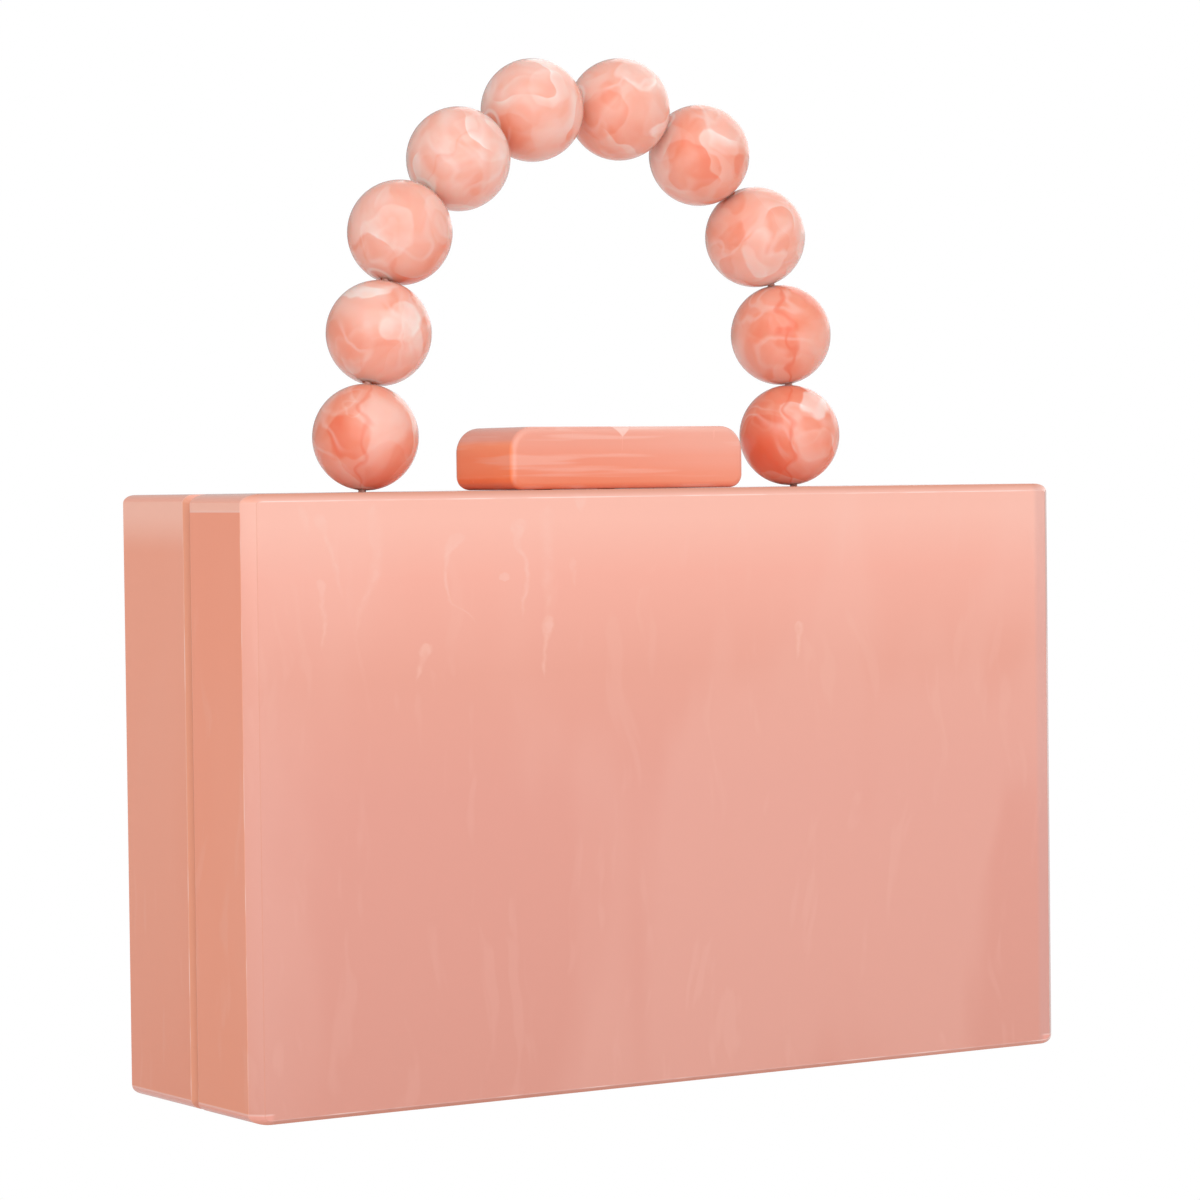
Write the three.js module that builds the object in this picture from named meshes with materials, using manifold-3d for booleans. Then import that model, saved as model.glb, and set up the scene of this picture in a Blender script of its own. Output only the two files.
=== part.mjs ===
// Acrylic box clutch: two hollow trays that close face to face on a hinge at the base,
// a rounded block that lifts as the clasp, and an arched handle of ten round beads on a cord.
// Millimetres, +Z up, front towards -Y. The origin is on the ground under the middle of the case.
import * as THREE from 'three';
import { mergeVertices } from 'three/addons/utils/BufferGeometryUtils.js';
import Module from 'manifold-3d';

const wasm = await Module();
wasm.setup();

// Case, the two trays together
const CASE_WIDTH = 200;
const CASE_HEIGHT = 123;
const CASE_DEPTH = 54.5;
const FRONT_DEPTH = 25; // front face to the seam
const WALL = 3;
const GAP = 0.3; // between pieces that touch on the real bag
const UPRIGHT_BEVEL = 2.4; // front face, left and right edges
const LEVEL_BEVEL = 1.8; // front face, top and bottom edges
const FRONT_CORNER = 3.4; // rounding of the front tray's edges that run front to back
const REAR_BEVEL = 1.6; // all edges of the rear face
const REAR_CORNER = 4;
const SEAM_BEVEL = 1.4;
const RIM_LAND = 1; // flat left on the rims at the base, inside the bevel
const SHARP = 0.3; // smallest corner radius

// Base hinges
const HINGE_INSET = 38; // end of the case to the middle of a hinge
const HINGE_LENGTH = 24;
const LEAF_DEPTH = 12;
const LEAF_THICKNESS = 0.8;

// Clasp block and its hidden hinge
const BAR_LENGTH = 58;
const BAR_DEPTH = 24.2;
const BAR_HEIGHT = 12.8;
const BAR_REACH = 8.5; // lies this far over the front tray
const BAR_SHOULDER = 5.2; // upper corners of its outline from the front
const BAR_TOE = 2.8; // lower corners of that outline
const BAR_FRONT_ROUNDING = 1.8; // edges of its front face
const BAR_REAR_ROUNDING = 2.5; // edges of its rear face, and the height of the pivot
const CLASP_PIN_RADIUS = 0.8;
const LUG_SPREAD = 8;
const LUG_WIDTH = 3;
const LUG_THICKNESS = 2.4;
const PIN_END = 3.5; // pin beyond each lug
const PLATE_THICKNESS = 1;
const PLATE_MARGIN = 2;

// Handle
const BEAD_DIAMETER = 22;
const BEAD_GAP = 0.2;
const CORD_DIAMETER = 1.6;
const BORE_CLEARANCE = 0.4;
const HANDLE_SETBACK = 9.2; // seam to the line of the two foot beads
const HANDLE_LEAN = 6; // degrees backwards
const CORD_OUTSET = 1; // the cord crosses each joint this far outside the line of centres
const STOP_DIAMETER = 6;
const STOP_HEIGHT = 2.5;
// Slope of each link from bead to bead in degrees, left foot to right foot
const LINK_SLOPES = [77.5, 72.5, 46, 30, 2.5, -25, -53, -77, -89];

const TUBE_SIDES = 16;
const CORNER_STEPS = 3;
const BAR_STEPS = 4;
const BEAD_SIDES = 14;
const BEAD_RINGS = 10;
const BORE_SIDES = 10;
const CORD_SIDES = 8;
const OVERCUT = 1; // cutting tools run this far past what they cut

const SEAM_Y = FRONT_DEPTH - CASE_DEPTH / 2;
const HINGE_BEVEL = WALL - RIM_LAND;
const HINGE_SPREAD = CASE_WIDTH / 2 - HINGE_INSET;
const HINGE_Z = HINGE_BEVEL;
const BARREL_RADIUS = HINGE_Z - GAP;
const PIN_RADIUS = (BARREL_RADIUS - GAP) / 2;
const BAR_BASE = CASE_HEIGHT + GAP;
const BAR_FRONT = SEAM_Y - BAR_REACH;
const BAR_REAR = BAR_FRONT + BAR_DEPTH;
const CLASP_Y = BAR_REAR - BAR_REAR_ROUNDING;
const CLASP_Z = BAR_BASE + BAR_REAR_ROUNDING;
const CEILING = CASE_HEIGHT - WALL - GAP; // highest place for what sits under the top wall

const ACRYLIC = { color: 0xf0a690, roughness: 0.12, metalness: 0 };
const BLOCK = { color: 0xee9079, roughness: 0.15, metalness: 0 };
const BEAD = { color: 0xf09c84, roughness: 0.1, metalness: 0 };
const CORD = { color: 0xd98a76, roughness: 0.5, metalness: 0 };
const BRASS = { color: 0xc8a35a, roughness: 0.3, metalness: 1 };

// Solids and booleans

function solid(geometry) {
  const bare = geometry.clone();
  bare.deleteAttribute('normal');
  bare.deleteAttribute('uv');
  const merged = mergeVertices(bare, 1e-5);
  const vertProperties = new Float32Array(merged.attributes.position.array);
  const triVerts = new Uint32Array(merged.index.array);
  return new wasm.Manifold(new wasm.Mesh({ numProp: 3, vertProperties, triVerts }));
}

function union(solids) {
  return solids.reduce((whole, next) => whole.add(next));
}

function piece(name, manifold, finish) {
  const { vertProperties, triVerts } = manifold.getMesh();
  const geometry = new THREE.BufferGeometry();
  geometry.setAttribute('position', new THREE.BufferAttribute(new Float32Array(vertProperties), 3));
  geometry.setIndex(new THREE.BufferAttribute(new Uint32Array(triVerts), 1));
  geometry.computeVertexNormals();
  const mesh = new THREE.Mesh(geometry, new THREE.MeshStandardMaterial({ ...finish, flatShading: true }));
  mesh.name = name;
  return mesh;
}

// A box between two corners, each [x, y, z]
function block(low, high) {
  const size = high.map((value, axis) => value - low[axis]);
  const middle = high.map((value, axis) => (value + low[axis]) / 2);
  return solid(new THREE.BoxGeometry(...size).translate(...middle));
}

// A round bar between two points
function rod(from, to, radius, sides) {
  const run = to.clone().sub(from);
  const turn = new THREE.Quaternion().setFromUnitVectors(new THREE.Vector3(0, 1, 0), run.clone().normalize());
  const middle = from.clone().add(to).multiplyScalar(0.5);
  const geometry = new THREE.CylinderGeometry(radius, radius, run.length(), sides);
  return solid(geometry.applyQuaternion(turn).translate(middle.x, middle.y, middle.z));
}

// A tube along X about the line y, z
function tubeAlongX(from, to, y, z, outer, inner) {
  const half = (to - from) / 2;
  const profile = [[inner, -half], [outer, -half], [outer, half], [inner, half], [inner, -half]];
  const points = profile.map(([radius, height]) => new THREE.Vector2(radius, height));
  const geometry = new THREE.LatheGeometry(points, TUBE_SIDES).rotateZ(-Math.PI / 2);
  return solid(geometry.translate((from + to) / 2, y, z));
}

// Corner points of a rectangle with round corners, upper and lower ones apart, anticlockwise
function roundedRectangle(low, high, upper, lower, steps) {
  const corners = [
    { x: high.x - upper, y: high.y - upper, radius: upper },
    { x: low.x + upper, y: high.y - upper, radius: upper },
    { x: low.x + lower, y: low.y + lower, radius: lower },
    { x: high.x - lower, y: low.y + lower, radius: lower },
  ];
  return corners.flatMap(({ x, y, radius }, quarter) =>
    Array.from({ length: steps + 1 }, (_, step) => {
      const angle = (Math.PI / 2) * (quarter + step / steps);
      return new THREE.Vector2(x + radius * Math.cos(angle), y + radius * Math.sin(angle));
    }));
}

// A convex body lofted through rings that have the same number of points
function loft(rings) {
  const count = rings[0].length;
  const index = [];
  for (let ring = 0; ring + 1 < rings.length; ring += 1) {
    for (let point = 0; point < count; point += 1) {
      const next = (point + 1) % count;
      const [a, b] = [ring * count + point, ring * count + next];
      index.push(a, b, b + count, a, b + count, a + count);
    }
  }
  const last = (rings.length - 1) * count;
  for (let point = 1; point + 1 < count; point += 1) {
    index.push(0, point + 1, point, last, last + point, last + point + 1);
  }
  const geometry = new THREE.BufferGeometry().setFromPoints(rings.flat());
  geometry.setIndex(index);
  return solid(geometry);
}

// Case

// Outline of the case at y, pulled in by the bevels that cross that plane
function caseRing(y, inset, corner) {
  const half = CASE_WIDTH / 2 - inset.side;
  const low = { x: -half, y: inset.base };
  const high = { x: half, y: CASE_HEIGHT - inset.top };
  const radius = Math.max(corner - Math.max(inset.side, inset.top), SHARP);
  return roundedRectangle(low, high, radius, radius, CORNER_STEPS)
    .map((point) => new THREE.Vector3(point.x, y, point.y));
}

// side is -1 for the front tray and +1 for the rear one; depth runs from its face to its rim
function tray({ side, depth, upright, level, corner }) {
  const place = (distance) => side * (CASE_DEPTH / 2 - distance);
  const stations = [0, level, upright, depth - HINGE_BEVEL, depth - SEAM_BEVEL, depth];
  const outer = [...new Set(stations)].sort((a, b) => a - b).map((distance) => {
    const fromRim = depth - distance;
    const inset = {
      side: Math.max(upright - distance, SEAM_BEVEL - fromRim, 0),
      top: Math.max(level - distance, SEAM_BEVEL - fromRim, 0),
      base: Math.max(level - distance, HINGE_BEVEL - fromRim, 0),
    };
    return caseRing(place(distance), inset, corner);
  });
  const wall = { side: WALL, top: WALL, base: WALL };
  const inner = [WALL, depth + OVERCUT].map((distance) => caseRing(place(distance), wall, corner));
  // rings run towards -Y so that the faces point outwards
  const ordered = (rings) => (side < 0 ? rings.reverse() : rings);
  return loft(ordered(outer)).subtract(loft(ordered(inner)));
}

function hingeNotches() {
  const reach = BARREL_RADIUS + GAP;
  return union([-1, 1].map((side) => {
    const x = side * HINGE_SPREAD;
    const half = HINGE_LENGTH / 2 + GAP;
    return block([x - half, SEAM_Y - reach, -OVERCUT], [x + half, SEAM_Y + reach, HINGE_Z + reach]);
  }));
}

function frontShell() {
  const depth = FRONT_DEPTH - GAP / 2;
  return tray({ side: -1, depth, upright: UPRIGHT_BEVEL, level: LEVEL_BEVEL, corner: FRONT_CORNER })
    .subtract(hingeNotches());
}

function rearShell() {
  const depth = CASE_DEPTH - FRONT_DEPTH - GAP / 2;
  const bore = CORD_DIAMETER / 2 + BORE_CLEARANCE;
  const holes = cordHoles().map((hole) => {
    const below = hole.clone().setZ(CASE_HEIGHT - WALL - OVERCUT);
    return rod(below, hole.clone().setZ(CASE_HEIGHT + OVERCUT), bore, TUBE_SIDES);
  });
  const slots = lugSpans(GAP).map(([from, to]) => block(
    [from, CLASP_Y - LUG_THICKNESS / 2 - GAP, CASE_HEIGHT - WALL - OVERCUT],
    [to, CLASP_Y + LUG_THICKNESS / 2 + GAP, CASE_HEIGHT + OVERCUT],
  ));
  return tray({ side: 1, depth, upright: REAR_BEVEL, level: REAR_BEVEL, corner: REAR_CORNER })
    .subtract(hingeNotches())
    .subtract(union([...holes, ...slots]));
}

// Base hinges

// One leaf at x: a flat strip on the tray's floor, and straps down to its knuckles
function hingeLeaf(x, side, knuckles) {
  const low = WALL + GAP;
  const high = low + LEAF_THICKNESS;
  const near = SEAM_Y + side * (BARREL_RADIUS + GAP);
  const far = SEAM_Y + side * LEAF_DEPTH;
  const half = HINGE_LENGTH / 2;
  const strapLow = HINGE_Z + (PIN_RADIUS + GAP + BARREL_RADIUS) / 2;
  const strip = block([x - half, Math.min(near, far), low], [x + half, Math.max(near, far), high]);
  const straps = knuckles.map(([from, to]) => block(
    [x + from, Math.min(SEAM_Y, near + side * GAP), strapLow],
    [x + to, Math.max(SEAM_Y, near + side * GAP), high],
  ));
  const barrels = knuckles.map(([from, to]) =>
    tubeAlongX(x + from, x + to, SEAM_Y, HINGE_Z, BARREL_RADIUS, PIN_RADIUS + GAP));
  return union([strip, ...straps, ...barrels]);
}

function hinge(number, x) {
  const half = HINGE_LENGTH / 2;
  const inner = half / 3; // the front leaf's one knuckle takes the middle third
  const pin = rod(
    new THREE.Vector3(x - half, SEAM_Y, HINGE_Z),
    new THREE.Vector3(x + half, SEAM_Y, HINGE_Z),
    PIN_RADIUS,
    TUBE_SIDES,
  );
  return [
    piece(`hinge_rear_${number}`, hingeLeaf(x, 1, [[-half, -inner - GAP], [inner + GAP, half]]), BRASS),
    piece(`hinge_front_${number}`, hingeLeaf(x, -1, [[-inner, inner]]), BRASS),
    piece(`hinge_pin_${number}`, pin, BRASS),
  ];
}

// Clasp

// From and to along X of the two lugs, widened by clearance
function lugSpans(clearance) {
  const half = LUG_WIDTH / 2 + clearance;
  return [-LUG_SPREAD, LUG_SPREAD].map((x) => [x - half, x + half]);
}

function claspPin(radius, clearance) {
  const half = LUG_SPREAD + LUG_WIDTH / 2 + PIN_END + clearance;
  const ends = [-half, half].map((x) => new THREE.Vector3(x, CLASP_Y, CLASP_Z));
  return rod(ends[0], ends[1], radius, TUBE_SIDES);
}

function claspHinge() {
  const thick = LUG_THICKNESS / 2;
  const lugs = lugSpans(0).flatMap(([from, to]) => [
    block([from, CLASP_Y - thick, CEILING - PLATE_THICKNESS], [to, CLASP_Y + thick, CLASP_Z]),
    tubeAlongX(from, to, CLASP_Y, CLASP_Z, thick, CLASP_PIN_RADIUS / 2),
  ]);
  const half = LUG_SPREAD + LUG_WIDTH / 2 + PLATE_MARGIN;
  const plate = block(
    [-half, CLASP_Y - thick - PLATE_MARGIN, CEILING - PLATE_THICKNESS],
    [half, CLASP_Y + thick + PLATE_MARGIN, CEILING],
  );
  return union([...lugs, plate, claspPin(CLASP_PIN_RADIUS, 0)]);
}

// Depth behind the face and pull-in of the sections of a rounded edge, from the face inwards
function roundedEdge(radius) {
  return Array.from({ length: BAR_STEPS + 1 }, (_, step) => {
    const angle = (Math.PI / 2) * (step / BAR_STEPS);
    return { depth: radius * (1 - Math.cos(angle)), inset: radius * (1 - Math.sin(angle)) };
  });
}

// The block's outline from the front, drawn through from its rear face to its front face
function claspBar() {
  const rear = roundedEdge(BAR_REAR_ROUNDING).map(({ depth, inset }) => ({ y: BAR_REAR - depth, inset }));
  const front = roundedEdge(BAR_FRONT_ROUNDING).map(({ depth, inset }) => ({ y: BAR_FRONT + depth, inset }));
  const rings = [...rear, ...front.reverse()].map(({ y, inset }) => {
    const low = { x: inset - BAR_LENGTH / 2, y: BAR_BASE + inset };
    const high = { x: BAR_LENGTH / 2 - inset, y: BAR_BASE + BAR_HEIGHT - inset };
    const upper = Math.max(BAR_SHOULDER - inset, SHARP);
    const lower = Math.max(BAR_TOE - inset, SHARP);
    return roundedRectangle(low, high, upper, lower, BAR_STEPS)
      .map((point) => new THREE.Vector3(point.x, y, point.y));
  });
  const clear = LUG_THICKNESS / 2 + GAP;
  const slots = lugSpans(GAP).map(([from, to]) =>
    block([from, CLASP_Y - clear, BAR_BASE - OVERCUT], [to, BAR_REAR + OVERCUT, CLASP_Z + clear]));
  return loft(rings).subtract(union([...slots, claspPin(CLASP_PIN_RADIUS + GAP, GAP)]));
}

// Handle

// Bead centres, left foot to right foot, in a plane that leans back about the line of the feet
function beadCentres() {
  const pitch = BEAD_DIAMETER + BEAD_GAP;
  const slopes = LINK_SLOPES.map(THREE.MathUtils.degToRad);
  const rise = slopes.reduce((sum, slope) => sum + Math.sin(slope), 0);
  const run = slopes.reduce((sum, slope) => sum + Math.cos(slope), 0);
  const level = Math.atan2(rise, run); // turned out again so that both feet stand level
  const lean = THREE.MathUtils.degToRad(HANDLE_LEAN);
  const flat = [new THREE.Vector2(0, 0)];
  for (const slope of slopes) {
    const step = new THREE.Vector2(Math.cos(slope - level), Math.sin(slope - level)).multiplyScalar(pitch);
    flat.push(flat.at(-1).clone().add(step));
  }
  const middle = flat.at(-1).x / 2;
  const footHeight = CASE_HEIGHT + GAP + BEAD_DIAMETER / 2;
  return flat.map((point) => new THREE.Vector3(
    point.x - middle,
    SEAM_Y + HANDLE_SETBACK + point.y * Math.sin(lean),
    footHeight + point.y * Math.cos(lean),
  ));
}

// Where the cord crosses from bead to bead, with the two places where it leaves the case
function cordPoints() {
  const centres = beadCentres();
  const under = (centre) => centre.clone().setZ(CASE_HEIGHT);
  const around = [under(centres[0]), ...centres, under(centres.at(-1))];
  const hub = new THREE.Vector3(0, centres[0].y, centres[0].z);
  const joints = around.slice(1, -2).map((centre, bead) => {
    const next = around[bead + 2];
    const joint = centre.clone().add(next).multiplyScalar(0.5);
    const link = next.clone().sub(centre).normalize();
    const outward = joint.clone().sub(hub);
    outward.addScaledVector(link, -outward.dot(link)).normalize();
    return joint.addScaledVector(outward, CORD_OUTSET);
  });
  const foot = (point, side) => point.clone().add(new THREE.Vector3(side * CORD_OUTSET, 0, 0));
  return [foot(around[0], -1), ...joints, foot(around.at(-1), 1)];
}

function cordHoles() {
  const points = cordPoints();
  return [points[0], points.at(-1)];
}

function beads() {
  const points = cordPoints();
  const bore = CORD_DIAMETER / 2 + BORE_CLEARANCE;
  return beadCentres().map((centre, index) => {
    const along = points[index + 1].clone().sub(points[index]).normalize();
    const middle = points[index].clone().add(points[index + 1]).multiplyScalar(0.5);
    const turn = new THREE.Quaternion().setFromUnitVectors(new THREE.Vector3(0, 1, 0), along);
    const ball = new THREE.SphereGeometry(BEAD_DIAMETER / 2, BEAD_SIDES, BEAD_RINGS)
      .applyQuaternion(turn).translate(centre.x, centre.y, centre.z);
    const from = middle.clone().addScaledVector(along, -BEAD_DIAMETER);
    const to = middle.clone().addScaledVector(along, BEAD_DIAMETER);
    const drilled = solid(ball).subtract(rod(from, to, bore, BORE_SIDES));
    return piece(`bead_${String(index + 1).padStart(2, '0')}`, drilled, BEAD);
  });
}

// Straight runs that overlap at each bend, and a stop under the top wall at each end
function handleCord() {
  const radius = CORD_DIAMETER / 2;
  const ends = cordHoles().map((hole) => hole.clone().setZ(CEILING - STOP_HEIGHT / 2));
  const points = [ends[0], ...cordPoints(), ends[1]];
  const runs = points.slice(1).map((to, index) => {
    const from = points[index];
    const overlap = to.clone().sub(from).setLength(radius / 2);
    return rod(from.clone().sub(overlap), to.clone().add(overlap), radius, CORD_SIDES);
  });
  const stops = ends.map((end) => rod(
    end.clone().setZ(CEILING - STOP_HEIGHT),
    end.clone().setZ(CEILING),
    STOP_DIAMETER / 2,
    TUBE_SIDES,
  ));
  return union([...runs, ...stops]);
}

const clutch = new THREE.Group();
clutch.add(
  piece('rear_shell', rearShell(), ACRYLIC),
  piece('front_shell', frontShell(), ACRYLIC),
  ...hinge(1, -HINGE_SPREAD),
  ...hinge(2, HINGE_SPREAD),
  piece('clasp_hinge', claspHinge(), BRASS),
  piece('clasp_bar', claspBar(), BLOCK),
  ...beads(),
  piece('handle_cord', handleCord(), CORD),
);

export default clutch;
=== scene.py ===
"""Looks of the acrylic box clutch: two poured trays, a clasp block, marbled beads and brass hinges.

Metres, +Z up, front towards -Y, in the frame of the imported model, whose origin is on the ground
under the middle of the case. Sizes are given in millimetres and turned into metres with MM.
"""

import logging
import math
from dataclasses import dataclass
from enum import Enum
from typing import Iterator, Sequence

import bmesh
import bpy
from bpy.types import Material, Mesh, Node, NodeSocket, NodeTree, Object
from mathutils import Matrix, Vector


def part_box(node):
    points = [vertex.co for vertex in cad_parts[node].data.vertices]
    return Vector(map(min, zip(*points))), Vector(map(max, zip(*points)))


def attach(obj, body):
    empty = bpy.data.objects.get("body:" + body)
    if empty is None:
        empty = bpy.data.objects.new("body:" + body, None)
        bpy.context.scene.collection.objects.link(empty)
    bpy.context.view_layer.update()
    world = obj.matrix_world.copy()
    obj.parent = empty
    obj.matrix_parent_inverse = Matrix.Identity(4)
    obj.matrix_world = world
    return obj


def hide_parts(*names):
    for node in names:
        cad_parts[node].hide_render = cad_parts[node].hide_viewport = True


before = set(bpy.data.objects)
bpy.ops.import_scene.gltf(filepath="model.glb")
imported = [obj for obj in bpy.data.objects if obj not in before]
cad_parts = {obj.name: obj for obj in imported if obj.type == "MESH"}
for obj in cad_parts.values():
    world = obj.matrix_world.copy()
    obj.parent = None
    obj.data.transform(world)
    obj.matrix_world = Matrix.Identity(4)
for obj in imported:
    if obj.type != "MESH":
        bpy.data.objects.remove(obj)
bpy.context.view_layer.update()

MM = 0.001
LOG = logging.getLogger("clutch")
WALL = 3.0 * MM
GAP = 0.3 * MM
PATCHES = 4  # folded patches on each bead
FACING = -122.9  # degrees round +Z of the side of a bead that faces front left

Colour = tuple[float, float, float, float]


class Slot(Enum):
    """The record's material slots."""

    CASE = "case_acrylic"
    CLASP = "clasp_acrylic"
    BEAD = "bead_acrylic"
    CORD = "handle_cord"
    HINGE = "hinge_metal"


class Body(Enum):
    """The bodies that the pieces ride on."""

    REAR = "rear_case"
    FRONT = "front_case"
    CLASP = "clasp"


# Node helpers


class Value:
    """A socket that can be reckoned with: each operator adds the maths node for it."""

    def __init__(self, nodes: "Nodes", socket: NodeSocket) -> None:
        """Keeps the socket and the helper of its tree."""
        self.nodes = nodes
        self.socket = socket

    def is_vector(self) -> bool:
        """Whether it carries a vector or a colour."""
        return self.socket.type in ("VECTOR", "RGBA")

    def __add__(self, other: object) -> "Value":
        """Sum."""
        return self.nodes.reckon("ADD", self, other)

    def __sub__(self, other: object) -> "Value":
        """Difference."""
        return self.nodes.reckon("SUBTRACT", self, other)

    def __rsub__(self, other: float) -> "Value":
        """Difference from a number."""
        return self.nodes.reckon("SUBTRACT", other, self)

    def __mul__(self, other: object) -> "Value":
        """Product; a vector is scaled by a number and multiplied by a tuple part by part."""
        if self.is_vector() and not isinstance(other, tuple):
            return self.nodes.get("ShaderNodeVectorMath", {0: self, "Scale": other}, operation="SCALE")
        return self.nodes.reckon("MULTIPLY", self, other)

    def __truediv__(self, other: object) -> "Value":
        """Quotient."""
        return self.nodes.reckon("DIVIDE", self, other)

    def __rtruediv__(self, other: float) -> "Value":
        """A number divided by it."""
        return self.nodes.reckon("DIVIDE", other, self)

    def __pow__(self, power: float) -> "Value":
        """Power."""
        return self.nodes.reckon("POWER", self, power)

    def __abs__(self) -> "Value":
        """Size without the sign."""
        return self.nodes.reckon("ABSOLUTE", self)

    def dot(self, way: object) -> "Value":
        """How far this direction lies along another."""
        return self.nodes.get("ShaderNodeVectorMath", {0: self, 1: way}, "Value", operation="DOT_PRODUCT")

    def step(self, start: float, end: float) -> "Value":
        """Mask with a smooth edge, 0 at the start and 1 at the end."""
        inputs = {0: self, 1: start, 2: end, 3: 0.0, 4: 1.0}
        return self.nodes.get("ShaderNodeMapRange", inputs, interpolation_type="SMOOTHSTEP")

    def laid(self, mask: object, colour: object) -> "Value":
        """This colour with another laid over it where the mask is 1."""
        return self.nodes.mix(mask, self, colour)


class Nodes:
    """Adds nodes to one tree and wires them."""

    def __init__(self, tree: NodeTree) -> None:
        """Starts on a shader or geometry tree."""
        self.tree = tree

    def feed(self, node: Node, inputs: dict) -> None:
        """Sets or links a node's inputs.

        Args:
            node: the node.
            inputs: socket name or number to a plain value, or to the Value or socket that feeds it.
        """
        for key, value in inputs.items():
            if isinstance(value, Value):
                value = value.socket
            if isinstance(value, NodeSocket):
                self.tree.links.new(value, node.inputs[key])
            else:
                node.inputs[key].default_value = value

    def add(self, kind: str, inputs: dict | None = None, **settings: object) -> Node:
        """Adds one node.

        Args:
            kind: the node's type name.
            inputs: its inputs, as in feed.
            settings: the node's own properties.

        Returns:
            The new node.
        """
        node = self.tree.nodes.new(kind)
        for key, value in settings.items():
            setattr(node, key, value)
        self.feed(node, inputs or {})
        return node

    def get(self, kind: str, inputs: dict | None = None, output: int | str = 0, **settings: object) -> Value:
        """Adds one node, as add does, and takes one of its outputs."""
        return Value(self, self.add(kind, inputs, **settings).outputs[output])

    def geo(self, kind: str, inputs: dict | None = None, output: int | str = 0, **settings: object) -> Value:
        """Adds one geometry node, named without its prefix, and takes one of its outputs."""
        return self.get("GeometryNode" + kind, inputs, output, **settings)

    def named(self, name: str, kind: str) -> Value:
        """Reads a named attribute in a geometry tree."""
        return self.geo("InputNamedAttribute", {"Name": name}, data_type=kind)

    def stored(self, geometry: Value, name: str, value: Value, kind: str) -> Value:
        """Stores a value on the points of a geometry."""
        given = {"Geometry": geometry, "Name": name, "Value": value}
        return self.geo("StoreNamedAttribute", given, data_type=kind, domain="POINT")

    def group(self, tree: NodeTree, inputs: dict) -> dict[str, Value]:
        """Adds a shader group and gives its outputs by name."""
        node = self.add("ShaderNodeGroup", inputs, node_tree=tree)
        return {socket.name: Value(self, socket) for socket in node.outputs}

    def reckon(self, operation: str, *values: object, clamp: bool = False) -> Value:
        """Adds a maths node, the kind for vectors where the first value is one.

        Args:
            operation: the node's operation.
            values: its inputs in order.
            clamp: whether a number is held between 0 and 1.

        Returns:
            The result.
        """
        inputs = dict(enumerate(values))
        if isinstance(values[0], Value) and values[0].is_vector():
            return self.get("ShaderNodeVectorMath", inputs, operation=operation)
        return self.get("ShaderNodeMath", inputs, operation=operation, use_clamp=clamp)

    def mix(self, mask: object, first: object, second: object) -> Value:
        """Blends two colours, the first where the mask is 0 and the second where it is 1."""
        return self.get("ShaderNodeMix", {0: mask, 6: first, 7: second}, 2, data_type="RGBA")

    def noise(self, place: Value, scale: object, detail: float, roughness: float = 0.5,
              output: str = "Fac") -> Value:
        """Adds a noise texture and takes its grey or its colour."""
        inputs = {"Vector": place, "Scale": scale, "Detail": detail, "Roughness": roughness}
        return self.get("ShaderNodeTexNoise", inputs, output)

    def wander(self, place: Value, scale: object, detail: float) -> Value:
        """A shift to all sides that changes slowly from place to place."""
        return self.noise(place, scale, detail, output="Color") - (0.5, 0.5, 0.5)

    def attribute(self, name: str, output: str = "Fac") -> Value:
        """Reads an attribute of the mesh."""
        return self.get("ShaderNodeAttribute", None, output, attribute_name=name)

    def place(self) -> Value:
        """The place on the piece, in the frame's axes."""
        return self.get("ShaderNodeTexCoord", None, "Object")

    def split(self, vector: Value) -> tuple[Value, ...]:
        """The x, y and z of a vector."""
        parts = self.add("ShaderNodeSeparateXYZ", {0: vector}).outputs
        return tuple(Value(self, socket) for socket in parts)

    def ramp(self, factor: Value, stops: Sequence[tuple[float, Colour]]) -> Value:
        """Adds a colour ramp.

        Args:
            factor: what it reads.
            stops: position and colour of each stop, in order.

        Returns:
            The colour.
        """
        node = self.add("ShaderNodeValToRGB", {0: factor})
        marks = node.color_ramp.elements
        while len(marks) < len(stops):
            marks.new(0.5)
        for mark, (place, colour) in zip(marks, stops):
            mark.position = place
            mark.color = colour
        return Value(self, node.outputs[0])


def node_group(name: str, kind: str, inputs: dict[str, str | float], outputs: dict[str, str]) -> tuple:
    """Starts a node group.

    Args:
        name: the group's name.
        kind: Shader or Geometry.
        inputs: socket name to its short type, or to its value where it is a plain number.
        outputs: socket name to its short type.

    Returns:
        The group, its node helper, its inputs by name and its output node.
    """
    tree = bpy.data.node_groups.new(name, kind + "NodeTree")
    for label, value in inputs.items():
        short = value if isinstance(value, str) else "Float"
        socket = tree.interface.new_socket(label, in_out="INPUT", socket_type="NodeSocket" + short)
        if not isinstance(value, str):
            socket.default_value = value
    for label, short in outputs.items():
        tree.interface.new_socket(label, in_out="OUTPUT", socket_type="NodeSocket" + short)
    nodes = Nodes(tree)
    given = nodes.add("NodeGroupInput").outputs
    return tree, nodes, {label: Value(nodes, given[label]) for label in inputs}, nodes.add("NodeGroupOutput")


def principled(name: str, **constants: object) -> tuple[Material, Nodes, Node]:
    """Starts a material on one Principled BSDF.

    Args:
        name: the material's name.
        constants: socket name, with _ for each space, to its value.

    Returns:
        The material, its node helper and its Principled node.
    """
    material = bpy.data.materials.new(name)
    material.use_nodes = True
    shader = next(node for node in material.node_tree.nodes if node.type == "BSDF_PRINCIPLED")
    for key, value in constants.items():
        shader.inputs[key.replace("_", " ")].default_value = value
    return material, Nodes(material.node_tree), shader


# Shared effects


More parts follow.
